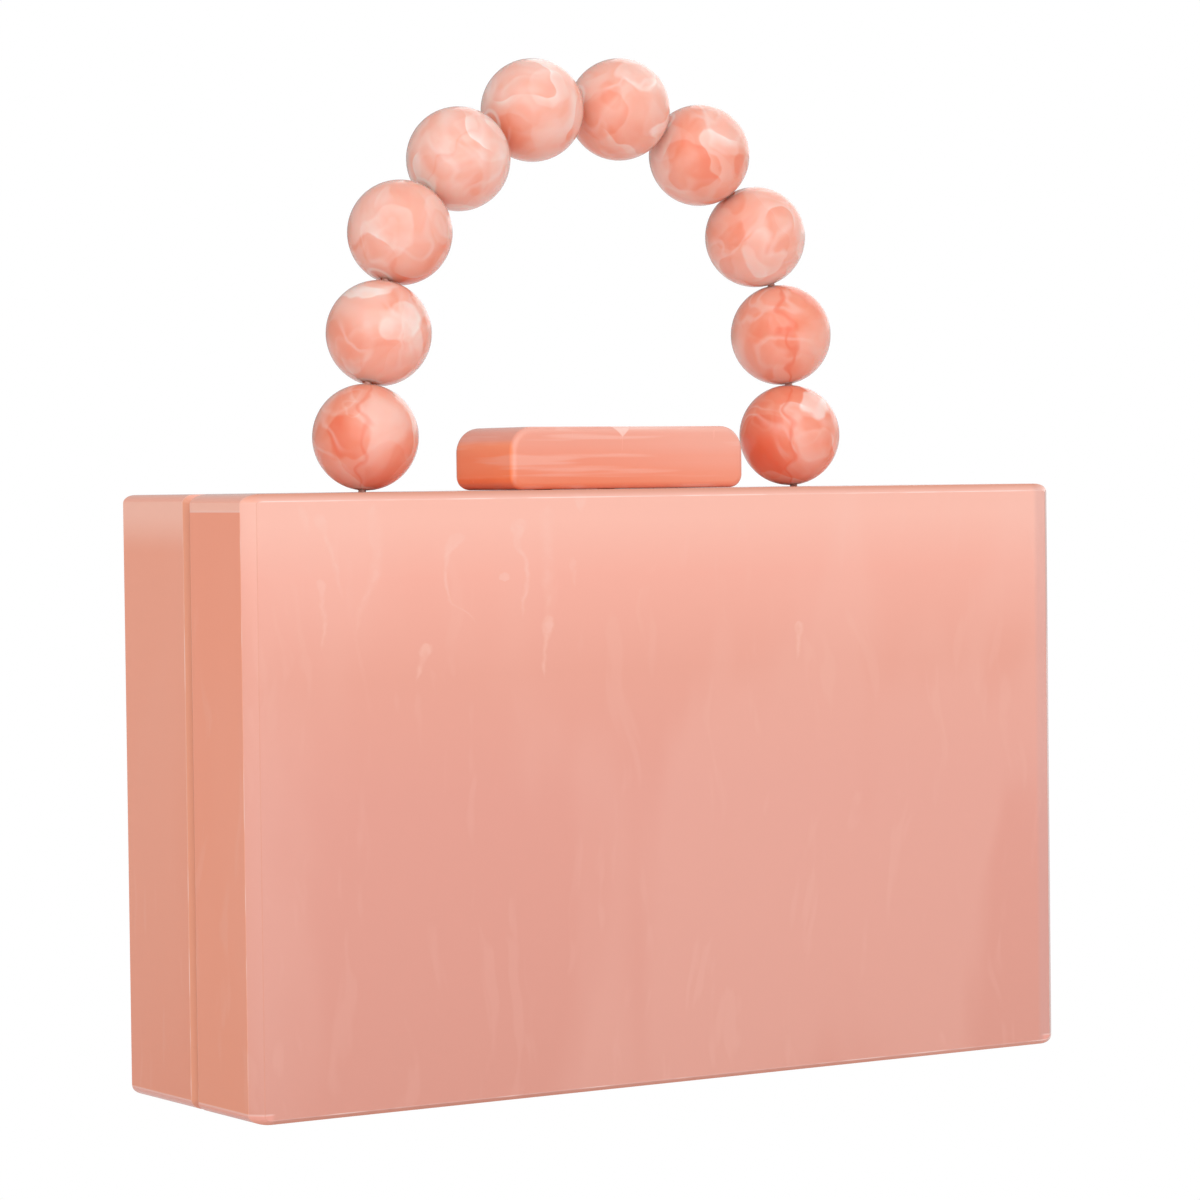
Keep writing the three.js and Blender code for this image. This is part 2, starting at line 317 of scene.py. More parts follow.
class Effects:
    """The shader groups that more than one finish uses, each built once."""

    def __init__(self) -> None:
        """Builds the groups."""
        self.marbling = self._marbling()
        self.gloss = self._gloss()
        self.glint = self._glint()

    @staticmethod
    def _marbling() -> NodeTree:
        """Folded streams of two resins: each fold brightens slowly, then breaks off, and fades elsewhere.

        Returns:
            The group.
        """
        tree, nodes, given, out = node_group(
            "Resin marbling", "Shader", {"Vector": "Vector", "Scale": 1.0, "Swirl": 0.5},
            {"Folds": "Float", "Clouds": "Float", "Veins": "Float"},
        )
        start, scale, swirl = given.values()
        place = start + nodes.wander(start, scale, 1.0) * swirl
        place = place + nodes.wander(place, scale * 2.2, 2.0) * (swirl * 0.22)
        saw = nodes.reckon("FRACT", nodes.noise(place, scale * 0.8, 0.0) * 4.2)
        strength = nodes.noise(start, scale * 1.3, 1.0).step(0.38, 0.62)
        ridge = abs(nodes.noise(place, scale * 1.5, 1.0) - 0.5)
        nodes.feed(out, {
            "Folds": saw ** 1.8 * saw.step(1.0, 0.93) * strength,
            "Clouds": nodes.noise(place, scale * 1.2, 3.0).step(0.28, 0.74),
            "Veins": ridge.step(0.07, 0.0) * (1.0 - strength),
        })
        return tree

    @staticmethod
    def _gloss() -> NodeTree:
        """Handled polish: slow changes of roughness, hairline scratches and a slight unevenness.

        Returns:
            The group.
        """
        tree, nodes, given, out = node_group(
            "Handled polish", "Shader", {"Vector": "Vector", "Scale": 40.0, "Roughness": 0.1, "Spread": 0.05},
            {"Roughness": "Float", "Height": "Float"},
        )
        place, scale, least, spread = given.values()
        smears = nodes.noise(place, scale, 3.0)
        hairs = nodes.noise(place * (1.0, 1.0, 0.06), scale * 45.0, 2.0).step(0.66, 0.74)
        smeared = least + (smears - 0.5) * spread
        rough = nodes.reckon("ADD", smeared, hairs * (spread * 0.6), clamp=True)
        nodes.feed(out, {"Roughness": rough, "Height": smears - hairs * 0.15})
        return tree

    @staticmethod
    def _glint() -> NodeTree:
        """Worked edges that catch the light in broken dashes.

        Returns:
            The group.
        """
        tree, nodes, given, out = node_group(
            "Edge glints", "Shader", {"Vector": "Vector", "Edge": 0.0, "Scale": 60.0, "Least": 0.3},
            {"Mask": "Float"},
        )
        dashes = nodes.noise(given["Vector"], given["Scale"], 2.0).step(0.42, 0.62)
        nodes.feed(out, {"Mask": nodes.reckon("MAXIMUM", dashes, given["Least"]) * given["Edge"]})
        return tree


# Finishes


@dataclass(frozen=True)
class MilkyRun:
    """One run of pale resin inside the front panel, from its bead-like head downwards, in millimetres."""

    path: tuple[tuple[float, float], ...]
    width: float
    head: float = 0.0
    strength: float = 0.5


FRONT_RUNS = (
    MilkyRun(((-83.8, 118.5), (-81.0, 110.0), (-76.9, 97.0)), 0.9, 1.5),
    MilkyRun(((-83.5, 105.8), (-83.0, 96.0), (-83.4, 88.0)), 0.9, 1.2, 0.4),
    MilkyRun(((-71.1, 122.0), (-71.4, 107.0), (-75.8, 97.0), (-76.2, 87.0)), 1.6, 0.0, 0.45),
    MilkyRun(((-88.4, 121.5), (-86.1, 112.0)), 1.0, 0.0, 0.4),
    MilkyRun(((-52.6, 114.1), (-55.3, 108.2), (-54.3, 101.4), (-49.4, 98.0), (-42.4, 91.0)), 0.9, 1.7, 0.55),
    MilkyRun(((-37.8, 116.8), (-38.6, 112.2), (-35.8, 108.3), (-36.8, 102.3), (-37.9, 91.0)), 1.0, 1.6, 0.6),
    MilkyRun(((-41.1, 106.2), (-41.3, 104.0)), 0.8, 1.3, 0.5),
    MilkyRun(((-30.9, 121.5), (-31.3, 96.5), (-32.5, 82.0)), 1.9, 0.0, 0.3),
    MilkyRun(((-31.2, 97.2), (-32.4, 88.0), (-32.6, 81.0)), 1.0, 1.6, 0.5),
    MilkyRun(((-22.9, 122.0), (-23.1, 117.0)), 0.9, 1.3, 0.5),
    MilkyRun(((-59.9, 92.6), (-62.6, 83.0)), 1.0, 1.3, 0.4),
    MilkyRun(((-25.0, 110.0), (-25.1, 101.0)), 0.8, 0.0, 0.35),
    MilkyRun(((31.2, 94.4), (31.0, 83.5)), 0.9, 1.3, 0.4),
)


@dataclass(frozen=True)
class PouredAcrylic:
    """Milky coral sheet acrylic with pale runs, painted paler towards the top and deeper towards the foot as
    painted light.
    """

    name: str
    # painted light: low to crest make the face paler towards the top and deeper towards the foot
    low: Colour = (0.67, 0.30, 0.237, 1.0)
    middle: Colour = (0.735, 0.327, 0.262, 1.0)
    upper: Colour = (0.775, 0.35, 0.272, 1.0)
    high: Colour = (0.865, 0.408, 0.325, 1.0)
    crest: Colour = (0.90, 0.475, 0.385, 1.0)
    # painted light: the paler band along the top of the sides
    top_light: Colour = (0.98, 0.53, 0.415, 1.0)
    # painted shade: the darker strip along the right side of the face
    right_shade: Colour = (0.61, 0.34, 0.31, 1.0)
    # painted light: the paler band along the foot of the sides
    foot: Colour = (0.84, 0.37, 0.30, 1.0)
    milk: Colour = (0.90, 0.55, 0.47, 1.0)
    glint: Colour = (0.97, 0.76, 0.70, 1.0)
    # painted light: deeper, more orange copies of the colour for the side faces, paler towards the top
    side_low: Colour = (0.82, 0.298, 0.18, 1.0)
    side_high: Colour = (0.93, 0.338, 0.213, 1.0)
    # painted shade on the bevels
    crease: Colour = (0.66, 0.27, 0.18, 1.0)
    # painted shade in the groove at the seam
    joint: Colour = (0.74, 0.315, 0.202, 1.0)
    # painted light on the rounded upper corners
    crown: Colour = (0.96, 0.42, 0.30, 1.0)
    side_reach: float = 0.12 * MM
    wall_strip: float = 4.4 * MM  # painted shade: the face is darker from this far in from its right side, where the side wall stands behind it
    strip_fade: float = 1.5 * MM
    strip_share: float = 0.45
    cloud_share: float = 0.14
    side_cloud_loss: float = 0.1
    thread_share: float = 0.07
    deck_band: float = 3.4 * MM  # painted light: the paler band this far down the top of the sides
    deck_fade: float = 0.3 * MM
    deck_share: float = 0.9
    deck_glint: float = 0.3
    crown_tall: float = 1.9 * MM  # painted light on the rounded upper corner, seen end on
    crown_wide: float = 4.2 * MM
    crown_share: float = 0.55
    foot_band: float = 2.1 * MM  # painted light: the paler band this high along the foot of the sides
    foot_share: float = 0.75
    foot_glint: float = 0.3
    glint_share: float = 0.8
    runs: tuple[MilkyRun, ...] = ()

    def build(self, effects: Effects, low: Vector, high: Vector) -> Material:
        """Makes the material.

        Args:
            effects: the shared groups.
            low: lowest corner of the whole case.
            high: highest corner of the whole case.

        Returns:
            The material.
        """
        material, nodes, shader = principled(self.name, IOR=1.4)
        place = nodes.place()
        x, _, z = nodes.split(place)
        height, out = z / high.z, abs(x)
        # painted light: paler towards the top, deeper towards the foot
        body = nodes.ramp(height, (
            (0.0, self.low), (0.5, self.middle), (0.7, self.upper), (0.86, self.high), (0.95, self.crest),
        ))
        # painted shade on the face near its right side, where the side wall stands behind it
        right_shade = x.step(high.x - self.wall_strip - self.strip_fade, high.x - self.wall_strip)
        body = body.laid(right_shade * self.strip_share, self.right_shade)
        # painted light: the side faces take their own deeper colour, paler towards the top
        side = out.step(high.x - self.side_reach, high.x - 0.2 * self.side_reach)
        body = body.laid(side, nodes.mix(height, self.side_low, self.side_high))
        marbling = nodes.group(effects.marbling, {"Vector": place * (16.0, 16.0, 6.0)})
        cloud_share = self.cloud_share - side * self.side_cloud_loss
        body = body.laid(marbling["Clouds"].step(0.35, 0.75) * cloud_share, self.milk)
        body = body.laid(self._threads(nodes, place) * self.thread_share, self.milk)
        if self.runs:
            body = body.laid(self._runs(nodes, place, low, high), self.milk)
        # painted light: a paler band along the top of the sides, with a painted glint line under it
        top_light = high.z - self.deck_band
        above = z.step(top_light - self.deck_fade, top_light + 0.3 * MM)
        body = body.laid(side * above * self.deck_share, self.top_light)
        body = body.laid(side * abs(z - top_light).step(0.3 * MM, 0.08 * MM) * self.deck_glint, self.glint)
        # painted light: a paler band along the foot of the sides, with a painted glint line where it begins
        near = out.step(high.x - 5.0 * MM, high.x - 3.5 * MM)
        band = z.step(self.foot_band + 0.15 * MM, self.foot_band - 0.15 * MM)
        body = body.laid(near * band * self.foot_share, self.foot)
        line = abs(z - self.foot_band).step(0.28 * MM, 0.08 * MM)
        body = body.laid(near * line * self.foot_glint, self.glint)
        # painted light on the rounded upper corners of the face
        near = out.step(high.x - self.crown_wide, high.x - 0.4 * self.crown_wide)
        above = z.step(high.z - self.crown_tall, high.z - 0.8 * self.crown_tall)
        body = body.laid(near * above * (1.0 - side) * self.crown_share, self.crown)
        # painted shade in the groove at the seam
        body = body.laid(nodes.attribute("joint"), self.joint)
        glint = nodes.group(effects.glint, {"Vector": place, "Edge": nodes.attribute("edge")})
        body = body.laid(nodes.reckon("MULTIPLY", glint["Mask"], self.glint_share, clamp=True), self.glint)
        # painted shade on the bevels
        body = body.laid(nodes.attribute("crease"), self.crease)
        gloss = nodes.group(effects.gloss, {"Vector": place, "Roughness": 0.16, "Spread": 0.1})
        bump = nodes.get("ShaderNodeBump", {"Strength": 0.03, "Distance": 0.0004, "Height": gloss["Height"]})
        nodes.feed(shader, {"Base Color": body, "Roughness": gloss["Roughness"], "Normal": bump})
        return material

    @staticmethod
    def _threads(nodes: Nodes, place: Value) -> Value:
        """Mask of faint upright threads of milk that wander a little."""
        moved = (place + nodes.wander(place, 22.0, 2.0) * 0.022) * (1.0, 1.0, 0.14)
        return nodes.noise(moved, 210.0, 2.0, 0.6).step(0.58, 0.7)

    def _runs(self, nodes: Nodes, place: Value, low: Vector, high: Vector) -> Value:
        """The named runs over the front panel.

        Args:
            nodes: the material's node helper.
            place: the place on the piece.
            low: lowest corner of the case.
            high: highest corner of the case.

        Returns:
            Their mask.
        """
        x, _, z = nodes.split(place)
        wide = high.x - low.x
        ripple = nodes.noise(place, 190.0, 4.0, 0.6) - 0.5
        broken = nodes.noise(place, 330.0, 3.0).step(0.38, 0.6)
        across = (x - low.x) / wide + ripple * 0.017
        down = z / high.z
        total = None
        for run in self.runs:
            middle, spread = self._run_curves(nodes, run, down, low.x, high)
            inside = spread - abs(across - middle)
            mask = inside.step(0.0, 1.1 * run.width * MM / wide) * (0.75 * run.strength)
            total = mask if total is None else nodes.reckon("MAXIMUM", total, mask)
        return total * (broken * 0.6 + 0.5)

    @staticmethod
    def _run_curves(nodes: Nodes, run: MilkyRun, down: Value, left: float, high: Vector) -> list[Value]:
        """Curves for a run's middle and half width against height, both as shares of the case's width.

        Args:
            nodes: the material's node helper.
            run: the run.
            down: height as a share of the case's height.
            left: x of the case's left side.
            high: highest corner of the case.

        Returns:
            The middle and the half width.
        """
        wide, tall = high.x - left, high.z
        middle = sorted((z * MM / tall, (x * MM - left) / wide) for x, z in run.path)
        full = 1.2 * run.width * MM / wide
        top, foot = middle[-1][0], middle[0][0]
        head_high = max(run.head, run.width) * MM / tall
        spread = [(foot, -full), (foot + 0.35 * (top - foot), 0.6 * full), (top - 2.0 * head_high, full)]
        if run.head:
            spread.append((top - head_high, 1.3 * run.head * MM / wide))
            spread.append((top, 1.1 * run.head * MM / wide))
        spread.append((top + 0.6 * head_high, -full))
        made = []
        for rows in (middle, sorted(spread)):
            node = nodes.add("ShaderNodeFloatCurve", {"Value": down})
            curve = node.mapping.curves[0]
            curve.points[0].location = rows[0]
            curve.points[-1].location = rows[-1]
            for row in rows[1:-1]:
                curve.points.new(*row)
            for point in curve.points:
                point.handle_type = "AUTO_CLAMPED"
            node.mapping.extend = "HORIZONTAL"
            node.mapping.update()
            made.append(Value(nodes, node.outputs[0]))
        return made


@dataclass(frozen=True)
class ClaspAcrylic:
    """Deeper coral block acrylic with fine level bands, deepest near its foot."""

    name: str = "Clasp block acrylic"
    foot: Colour = (0.85, 0.252, 0.125, 1.0)
    waist: Colour = (0.85, 0.322, 0.217, 1.0)
    crown: Colour = (0.845, 0.393, 0.305, 1.0)
    end_foot: Colour = (0.99, 0.243, 0.078, 1.0)
    end_crown: Colour = (0.99, 0.385, 0.22, 1.0)
    milk: Colour = (0.97, 0.68, 0.60, 1.0)
    chip: Colour = (0.96, 0.72, 0.65, 1.0)
    chip_middle: float = -1.8 * MM
    chip_half: float = 2.6 * MM
    chip_depth: float = 2.4 * MM
    chip_share: float = 0.6
    band_share: float = 0.5
    milk_share: float = 0.16
    streak_share: float = 0.26
    glint_share: float = 0.35

    def build(self, effects: Effects, low: Vector, high: Vector) -> Material:
        """Makes the material.

        Args:
            effects: the shared groups.
            low: lowest corner of the block.
            high: highest corner of the block.

        Returns:
            The material.
        """
        material, nodes, shader = principled(self.name, IOR=1.42)
        place = nodes.place()
        x, _, z = nodes.split(place)
        bands = nodes.noise(place * (4.0, 4.0, 260.0), 1.0, 3.0, 0.6)
        level = (z - low.z) / (high.z - low.z) + (bands - 0.5) * self.band_share
        body = nodes.ramp(level, ((0.0, self.foot), (0.45, self.waist), (1.0, self.crown)))
        body = body.laid(x.step(low.x / 2, high.x) * self.milk_share, self.milk)
        end = abs(x).step(high.x - 0.8 * MM, high.x - 0.1 * MM)
        body = body.laid(end, nodes.mix(level, self.end_foot, self.end_crown))
        streaks = nodes.noise(place * (26.0, 30.0, 560.0), 1.0, 2.0).step(0.54, 0.7)
        body = body.laid(streaks * self.streak_share, self.milk)
        body = body.laid(self._chip(nodes, place, low, high), self.chip)
        edge = nodes.attribute("edge")
        glint = nodes.group(effects.glint, {"Vector": place, "Edge": edge, "Scale": 90.0, "Least": 0.15})
        body = body.laid(glint["Mask"] * self.glint_share, self.milk)
        gloss = nodes.group(effects.gloss, {"Vector": place, "Roughness": 0.2, "Spread": 0.12})
        bump = nodes.get("ShaderNodeBump", {"Strength": 0.04, "Distance": 0.0004, "Height": gloss["Height"]})
        nodes.feed(shader, {"Base Color": body, "Roughness": gloss["Roughness"], "Normal": bump})
        return material

    def _chip(self, nodes: Nodes, place: Value, low: Vector, high: Vector) -> Value:
        """The small pale chip in the upper front edge, with a painted highlight that runs on to its right
        along the edge.

        Args:
            nodes: the material's node helper.
            place: the place on the block.
            low: lowest corner of the block.
            high: highest corner of the block.

        Returns:
            Their mask.
        """
        x, y, z = nodes.split(place)
        down = high.z - z
        chip = (down / self.chip_depth + abs(x - self.chip_middle) / self.chip_half).step(1.0, 0.8)
        # painted highlight along the upper front edge, to the right of the chip
        run = x.step(self.chip_middle, self.chip_middle + MM) * x.step(high.x / 2, high.x / 3)
        edge_streak = run * down.step(0.8 * MM, 0.4 * MM)
        near = y.step(low.y + 1.6 * MM, low.y + MM)
        return nodes.reckon("MAXIMUM", chip, edge_streak * 0.5) * near * self.chip_share


@dataclass(frozen=True)
class MarbledResin:
    """Bead resin: coral, deep orange and white-pink streams folded into one another round the bore."""

    name: str = "Marbled bead resin"
    deep: Colour = (0.80, 0.185, 0.095, 1.0)
    orange: Colour = (0.83, 0.30, 0.195, 1.0)
    coral: Colour = (0.85, 0.41, 0.315, 1.0)
    blush: Colour = (0.87, 0.53, 0.45, 1.0)
    pale: Colour = (0.88, 0.67, 0.61, 1.0)
    cream: Colour = (0.90, 0.82, 0.79, 1.0)
    # painted shade: the darker rim where a bead turns away from view
    rim: Colour = (0.56, 0.33, 0.28, 1.0)
    scale: float = 0.72
    swirl: float = 1.4
    fold_share: float = 0.34
    cloud_share: float = 0.28
    vein_share: float = 0.22
    crease_share: float = 0.6
    ring_share: float = 0.5
    rim_share: float = 0.4

    def build(self, effects: Effects, radius: float) -> Material:
        """Makes the material.

        Args:
            effects: the shared groups.
            radius: the beads' radius.

        Returns:
            The material.
        """
        material, nodes, shader = principled(
            self.name, IOR=1.42, Coat_Weight=0.2, Coat_Roughness=0.12, Coat_IOR=1.35,
            Subsurface_Weight=0.85, Subsurface_Scale=0.007, Subsurface_Radius=(1.0, 0.5, 0.4),
        )
        local = nodes.attribute("bead_place", "Vector")
        seed = nodes.attribute("bead_seed", "Vector")
        turn = {"Vector": local, "Rotation": seed}
        place = nodes.get("ShaderNodeVectorRotate", turn, rotation_type="EULER_XYZ") + seed
        marbling = nodes.group(effects.marbling, {"Vector": place, "Scale": self.scale, "Swirl": self.swirl})
        seam, crease = self._seam(nodes, local)
        side = (nodes.place() - nodes.attribute("bead_centre", "Vector")) * (1.0 / radius)
        shade = marbling["Folds"] * self.fold_share + marbling["Clouds"] * self.cloud_share + seam
        # the lean is painted light: a change of shade from top to foot
        shade = shade + side.dot(nodes.attribute("bead_lean", "Vector")) + self._patches(nodes, side, place)
        shade = nodes.reckon("ADD", shade, nodes.attribute("bead_tone"), clamp=True)
        body = nodes.ramp(shade, (
            (0.0, self.deep), (0.25, self.orange), (0.45, self.coral), (0.65, self.blush), (0.85, self.pale),
            (1.0, self.cream),
        ))
        body = body.laid(marbling["Veins"] * self.vein_share, self.cream)
        body = body.laid(crease * self.crease_share, self.deep)
        # a paler ring round each mouth of the bore
        mouth = abs(nodes.split(local)[2])
        pale_ring = mouth.step(0.955, 0.972) * mouth.step(0.985, 0.975)
        body = body.laid(pale_ring * self.ring_share, self.cream)
        # painted shade: a darker rim where the bead turns away from view
        grazing = nodes.get("ShaderNodeLayerWeight", None, "Facing")
        body = body.laid(grazing.step(0.72, 0.94) * self.rim_share, self.rim)
        gloss = nodes.group(effects.gloss, {"Vector": local, "Scale": 3.0, "Roughness": 0.16, "Spread": 0.08})
        nodes.feed(shader, {"Base Color": body, "Roughness": gloss["Roughness"]})
        return material

    @staticmethod
    def _seam(nodes: Nodes, local: Value) -> tuple[Value, Value]:
        """One fold from bore to bore, soft on one side and sharp on the other, with a crease along it.

        Args:
            nodes: the material's node helper.
            local: the place on the bead, its bore along Z.

        Returns:
            The change of shade and the mask of the crease.
        """
        start, fold, depth = nodes.split(nodes.attribute("bead_seam", "Vector"))
        x, y, _ = nodes.split(local)
        angle = nodes.reckon("ARCTAN2", y, x) / math.tau
        bend = (nodes.noise(local, 1.6, 1.0) - 0.5) * 0.16
        turn = nodes.reckon("FRACT", angle - start + bend)
        off = nodes.reckon("MINIMUM", turn, 1.0 - turn)
        return ((1.0 - turn) ** 1.6 - 0.35) * fold, off.step(0.014, 0.0) * depth

    @staticmethod
    def _patches(nodes: Nodes, side: Value, place: Value) -> Value:
        """The bead's own folded patches, each crisp at its rim and fading towards its middle.

        Args:
            nodes: the material's node helper.
            side: direction from the bead's centre.
            place: the place in the marbling, which makes the rims uneven.

        Returns:
            The change of shade.
        """
        uneven = side + nodes.wander(place, 1.1, 2.0) * 0.5
        total = None
        for number in range(PATCHES):
            way = nodes.attribute(f"patch_way_{number}", "Vector")
            rim, shade, fade = nodes.split(nodes.attribute(f"patch_form_{number}", "Vector"))
            inward = uneven.dot(way) - rim
            depth = nodes.reckon("DIVIDE", inward, 1.0 - rim, clamp=True)
            change = inward.step(-0.012, 0.03) * (1.0 - depth * fade) * shade
            total = change if total is None else total + change
        return total


@dataclass(frozen=True)
class TwistedThread:
    """Coral thread laid in a close twist, with painted shade in the grooves between its strands."""

    name: str = "Twisted thread"
    # painted shade: lighter crowns and darker grooves of the strands
    light: Colour = (0.93, 0.52, 0.42, 1.0)
    dark: Colour = (0.72, 0.32, 0.23, 1.0)
    turns: float = 900.0  # strands crossed in each metre along the cord
    strands: float = 3.0  # strands crossed in one turn round it

    def build(self) -> Material:
        """Makes the material.

        Returns:
            The material.
        """
        material, nodes, shader = principled(self.name, Roughness=0.6, Sheen_Weight=0.3)
        turn = nodes.attribute("cord_along") * self.turns + nodes.attribute("cord_around") * self.strands
        crown = abs(nodes.reckon("FRACT", turn) - 0.5).step(0.5, 0.1)
        bump = nodes.get("ShaderNodeBump", {"Strength": 0.6, "Distance": 0.0002, "Height": crown})
        # painted shade in the grooves between the strands
        nodes.feed(shader, {"Base Color": nodes.mix(crown, self.dark, self.light), "Normal": bump})
        return material


@dataclass(frozen=True)
class RolledBrass:
    """Rolled rose brass strip with a fine grain along its length and some tarnish."""

    name: str = "Rolled rose brass"
    bright: Colour = (0.90, 0.56, 0.40, 1.0)
    tarnish: Colour = (0.62, 0.33, 0.20, 1.0)
    spot_share: float = 0.6

    def build(self, effects: Effects) -> Material:
        """Makes the material.

        Args:
            effects: the shared groups.

        Returns:
            The material.
        """
        material, nodes, shader = principled(self.name, Metallic=1.0)
        place = nodes.place()
        grain = nodes.noise(place * (60.0, 2600.0, 2600.0), 1.0, 3.0)
        spots = nodes.noise(place, 260.0, 4.0, 0.65).step(0.52, 0.7)
        gloss = nodes.group(effects.gloss, {"Vector": place, "Scale": 120.0, "Roughness": 0.3, "Spread": 0.2})
        bump = nodes.get("ShaderNodeBump", {"Strength": 0.15, "Distance": 0.0001, "Height": grain})
        nodes.feed(shader, {"Base Color": nodes.mix(spots * self.spot_share, self.bright, self.tarnish),
                            "Roughness": gloss["Roughness"], "Normal": bump})
        return material


# Mesh helpers


def kept(body: bmesh.types.BMesh, name: str) -> Mesh:
    """Turns a bmesh into a mesh.

    Args:
        body: the bmesh; it is freed.
        name: the mesh's name.

    Returns:
        The mesh.
    """
    mesh = bpy.data.meshes.new(name)
    body.to_mesh(mesh)
    body.free()
    return mesh


def soft_path(corners: Sequence[tuple[float, float]], radii: Sequence[float], steps: int) -> list[tuple]:
    """Rounds the inner corners of an open line.

    Args:
        corners: the line's points, ends included.
        radii: the rounding at each inner corner.
        steps: segments in each rounding.

    Returns:
        The new points, each with a weight that is 1 in the middle of a rounding and 0 off it.
    """
    points = [Vector(corner) for corner in corners]
    path = [(*points[0], 0.0)]
    for before, corner, after, radius in zip(points, points[1:], points[2:], radii):
        back, ahead = (before - corner).normalized(), (after - corner).normalized()
        turn = math.pi - back.angle(ahead)
        reach = radius * math.tan(turn / 2)
        for step in range(steps + 1):
            share = step / steps
            first = corner + back * reach * (1 - share)
            second = corner + ahead * reach * share
            path.append((*first.lerp(second, share), math.sin(math.pi * share)))
    path.append((*points[-1], 0.0))
    return path


def round_corners(steps: int) -> Iterator[tuple[int, int, float]]:
    """Goes round the four rounded corners of an outline seen from the front.

    Args:
        steps: segments in each corner.

    Returns:
        For each point, 1 on the right and -1 on the left, 1 above and -1 below, and its angle.
    """
    for quarter in range(4):
        right = 1 if quarter in (0, 3) else -1
        up = 1 if quarter < 2 else -1
        for step in range(steps + 1):
            yield right, up, math.pi / 2 * (quarter + step / steps)


def loft(rings: Sequence[Sequence[Vector]], marks: dict[str, Sequence[Sequence[float]]]) -> Mesh:
    """A closed body drawn through rings of equally many points.

    Args:
        rings: the rings, first to last.
        marks: attribute name to its value at each ring's points.

    Returns:
        The mesh, with the attributes and with its faces pointing outwards.
    """
    body = bmesh.new()
    layers = {name: body.verts.layers.float.new(name) for name in marks}
    rows = []
    for number, ring in enumerate(rings):
        row = [body.verts.new(point) for point in ring]
        for name, values in marks.items():
            for vertex, value in zip(row, values[number]):
                vertex[layers[name]] = value
        rows.append(row)
    for row, after in zip(rows, rows[1:]):
        for index, vertex in enumerate(row):
            following = (index + 1) % len(row)
            body.faces.new((vertex, row[following], after[following], after[index]))
    body.faces.new(rows[0])
    body.faces.new(rows[-1])
    bmesh.ops.recalc_face_normals(body, faces=body.faces)
    return kept(body, "lofted")


def cutter_box(low: Sequence[float], high: Sequence[float]) -> Mesh:
    """A box that cuts a slot or a notch.

    Args:
        low: its lowest corner.
        high: its highest corner.

    Returns:
        The mesh.
    """
    body = bmesh.new()
    low, high = Vector(low), Vector(high)
    shape = Matrix.Translation((low + high) / 2) @ Matrix.Diagonal((*(high - low), 1.0))
    bmesh.ops.create_cube(body, size=1.0, matrix=shape)
    return kept(body, "cutter")


def round_rod(start: Vector, end: Vector, radius: float, sides: int = 32) -> Mesh:
    """A round rod between two points that cuts a bore.

    Args:
        start: one end.
        end: the other end.
        radius: the rod's radius.
        sides: the rod's sides.

    Returns:
        The mesh.
    """
    body = bmesh.new()
    run = end - start
    turn = run.to_track_quat("Z", "Y").to_matrix().to_4x4()
    bmesh.ops.create_cone(
        body, cap_ends=True, segments=sides, radius1=radius, radius2=radius, depth=run.length,
        matrix=Matrix.Translation((start + end) / 2) @ turn,
    )
    return kept(body, "rod")


def shown(name: str, data: Mesh | bpy.types.Camera | bpy.types.Light) -> Object:
    """Puts a mesh, a camera or a lamp into the scene.

    Args:
        name: the object's name, which its data gets too.
        data: what it shows.

    Returns:
        The object.
    """
    data.name = name
    piece = bpy.data.objects.new(name, data)
    bpy.context.scene.collection.objects.link(piece)
    return piece


def settled(piece: Object) -> Object:
    """Replaces a piece's mesh by what its modifiers make of it, and removes them.

    Args:
        piece: the object with modifiers.

    Returns:
        The same object.
    """
    graph = bpy.context.evaluated_depsgraph_get()
    graph.update()
    mesh = bpy.data.meshes.new_from_object(
        piece.evaluated_get(graph), preserve_all_data_layers=True, depsgraph=graph,
    )
    piece.modifiers.clear()
    old = piece.data
    piece.data = mesh
    bpy.data.meshes.remove(old)
    mesh.name = piece.name
    return piece


def carved(piece: Object, cutters: Sequence[Mesh]) -> Object:
    """Cuts a piece with each cutter in turn.

    Args:
        piece: the object to cut.
        cutters: closed meshes; they are deleted afterwards.

    Returns:
        The same object.
    """
    tools = [shown(f"tool_{number}", mesh) for number, mesh in enumerate(cutters)]
    for tool in tools:
        piece.modifiers.new(tool.name, "BOOLEAN").object = tool
    settled(piece)
    for tool in tools:
        bpy.data.meshes.remove(tool.data)
    return piece


def smooth_faces(piece: Object, sharp_degrees: float = 35.0) -> Object:
    """Shades a hard piece so that its flats stay flat and its roundings look round.

    Args:
        piece: the object.
        sharp_degrees: edges that turn by more than this stay sharp.

    Returns:
        The same object.
    """
    mesh = piece.data
    mesh.shade_smooth()
    mesh.set_sharp_from_angle(angle=math.radians(sharp_degrees))
    even = piece.modifiers.new("Even normals", "WEIGHTED_NORMAL")
    even.keep_sharp = True
    even.weight = 100
    return settled(piece)


def dress(piece: Object, material: Material, body: Body, node: str) -> Object:
    """Gives a finished piece its material and its place in the frame.

    Args:
        piece: the object.
        material: its finish.
        body: the body that it rides on.
        node: the CAD node that it stands for.

    Returns:
        The same object.
    """
    piece.data.materials.clear()
    piece.data.materials.append(material)
    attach(piece, body.value)
    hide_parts(node)
    faces = len(piece.data.polygons)
    LOG.info("%s: %d faces, rides on %s, stands for %s", piece.name, faces, body.value, node)
    return piece


# Sub-assemblies


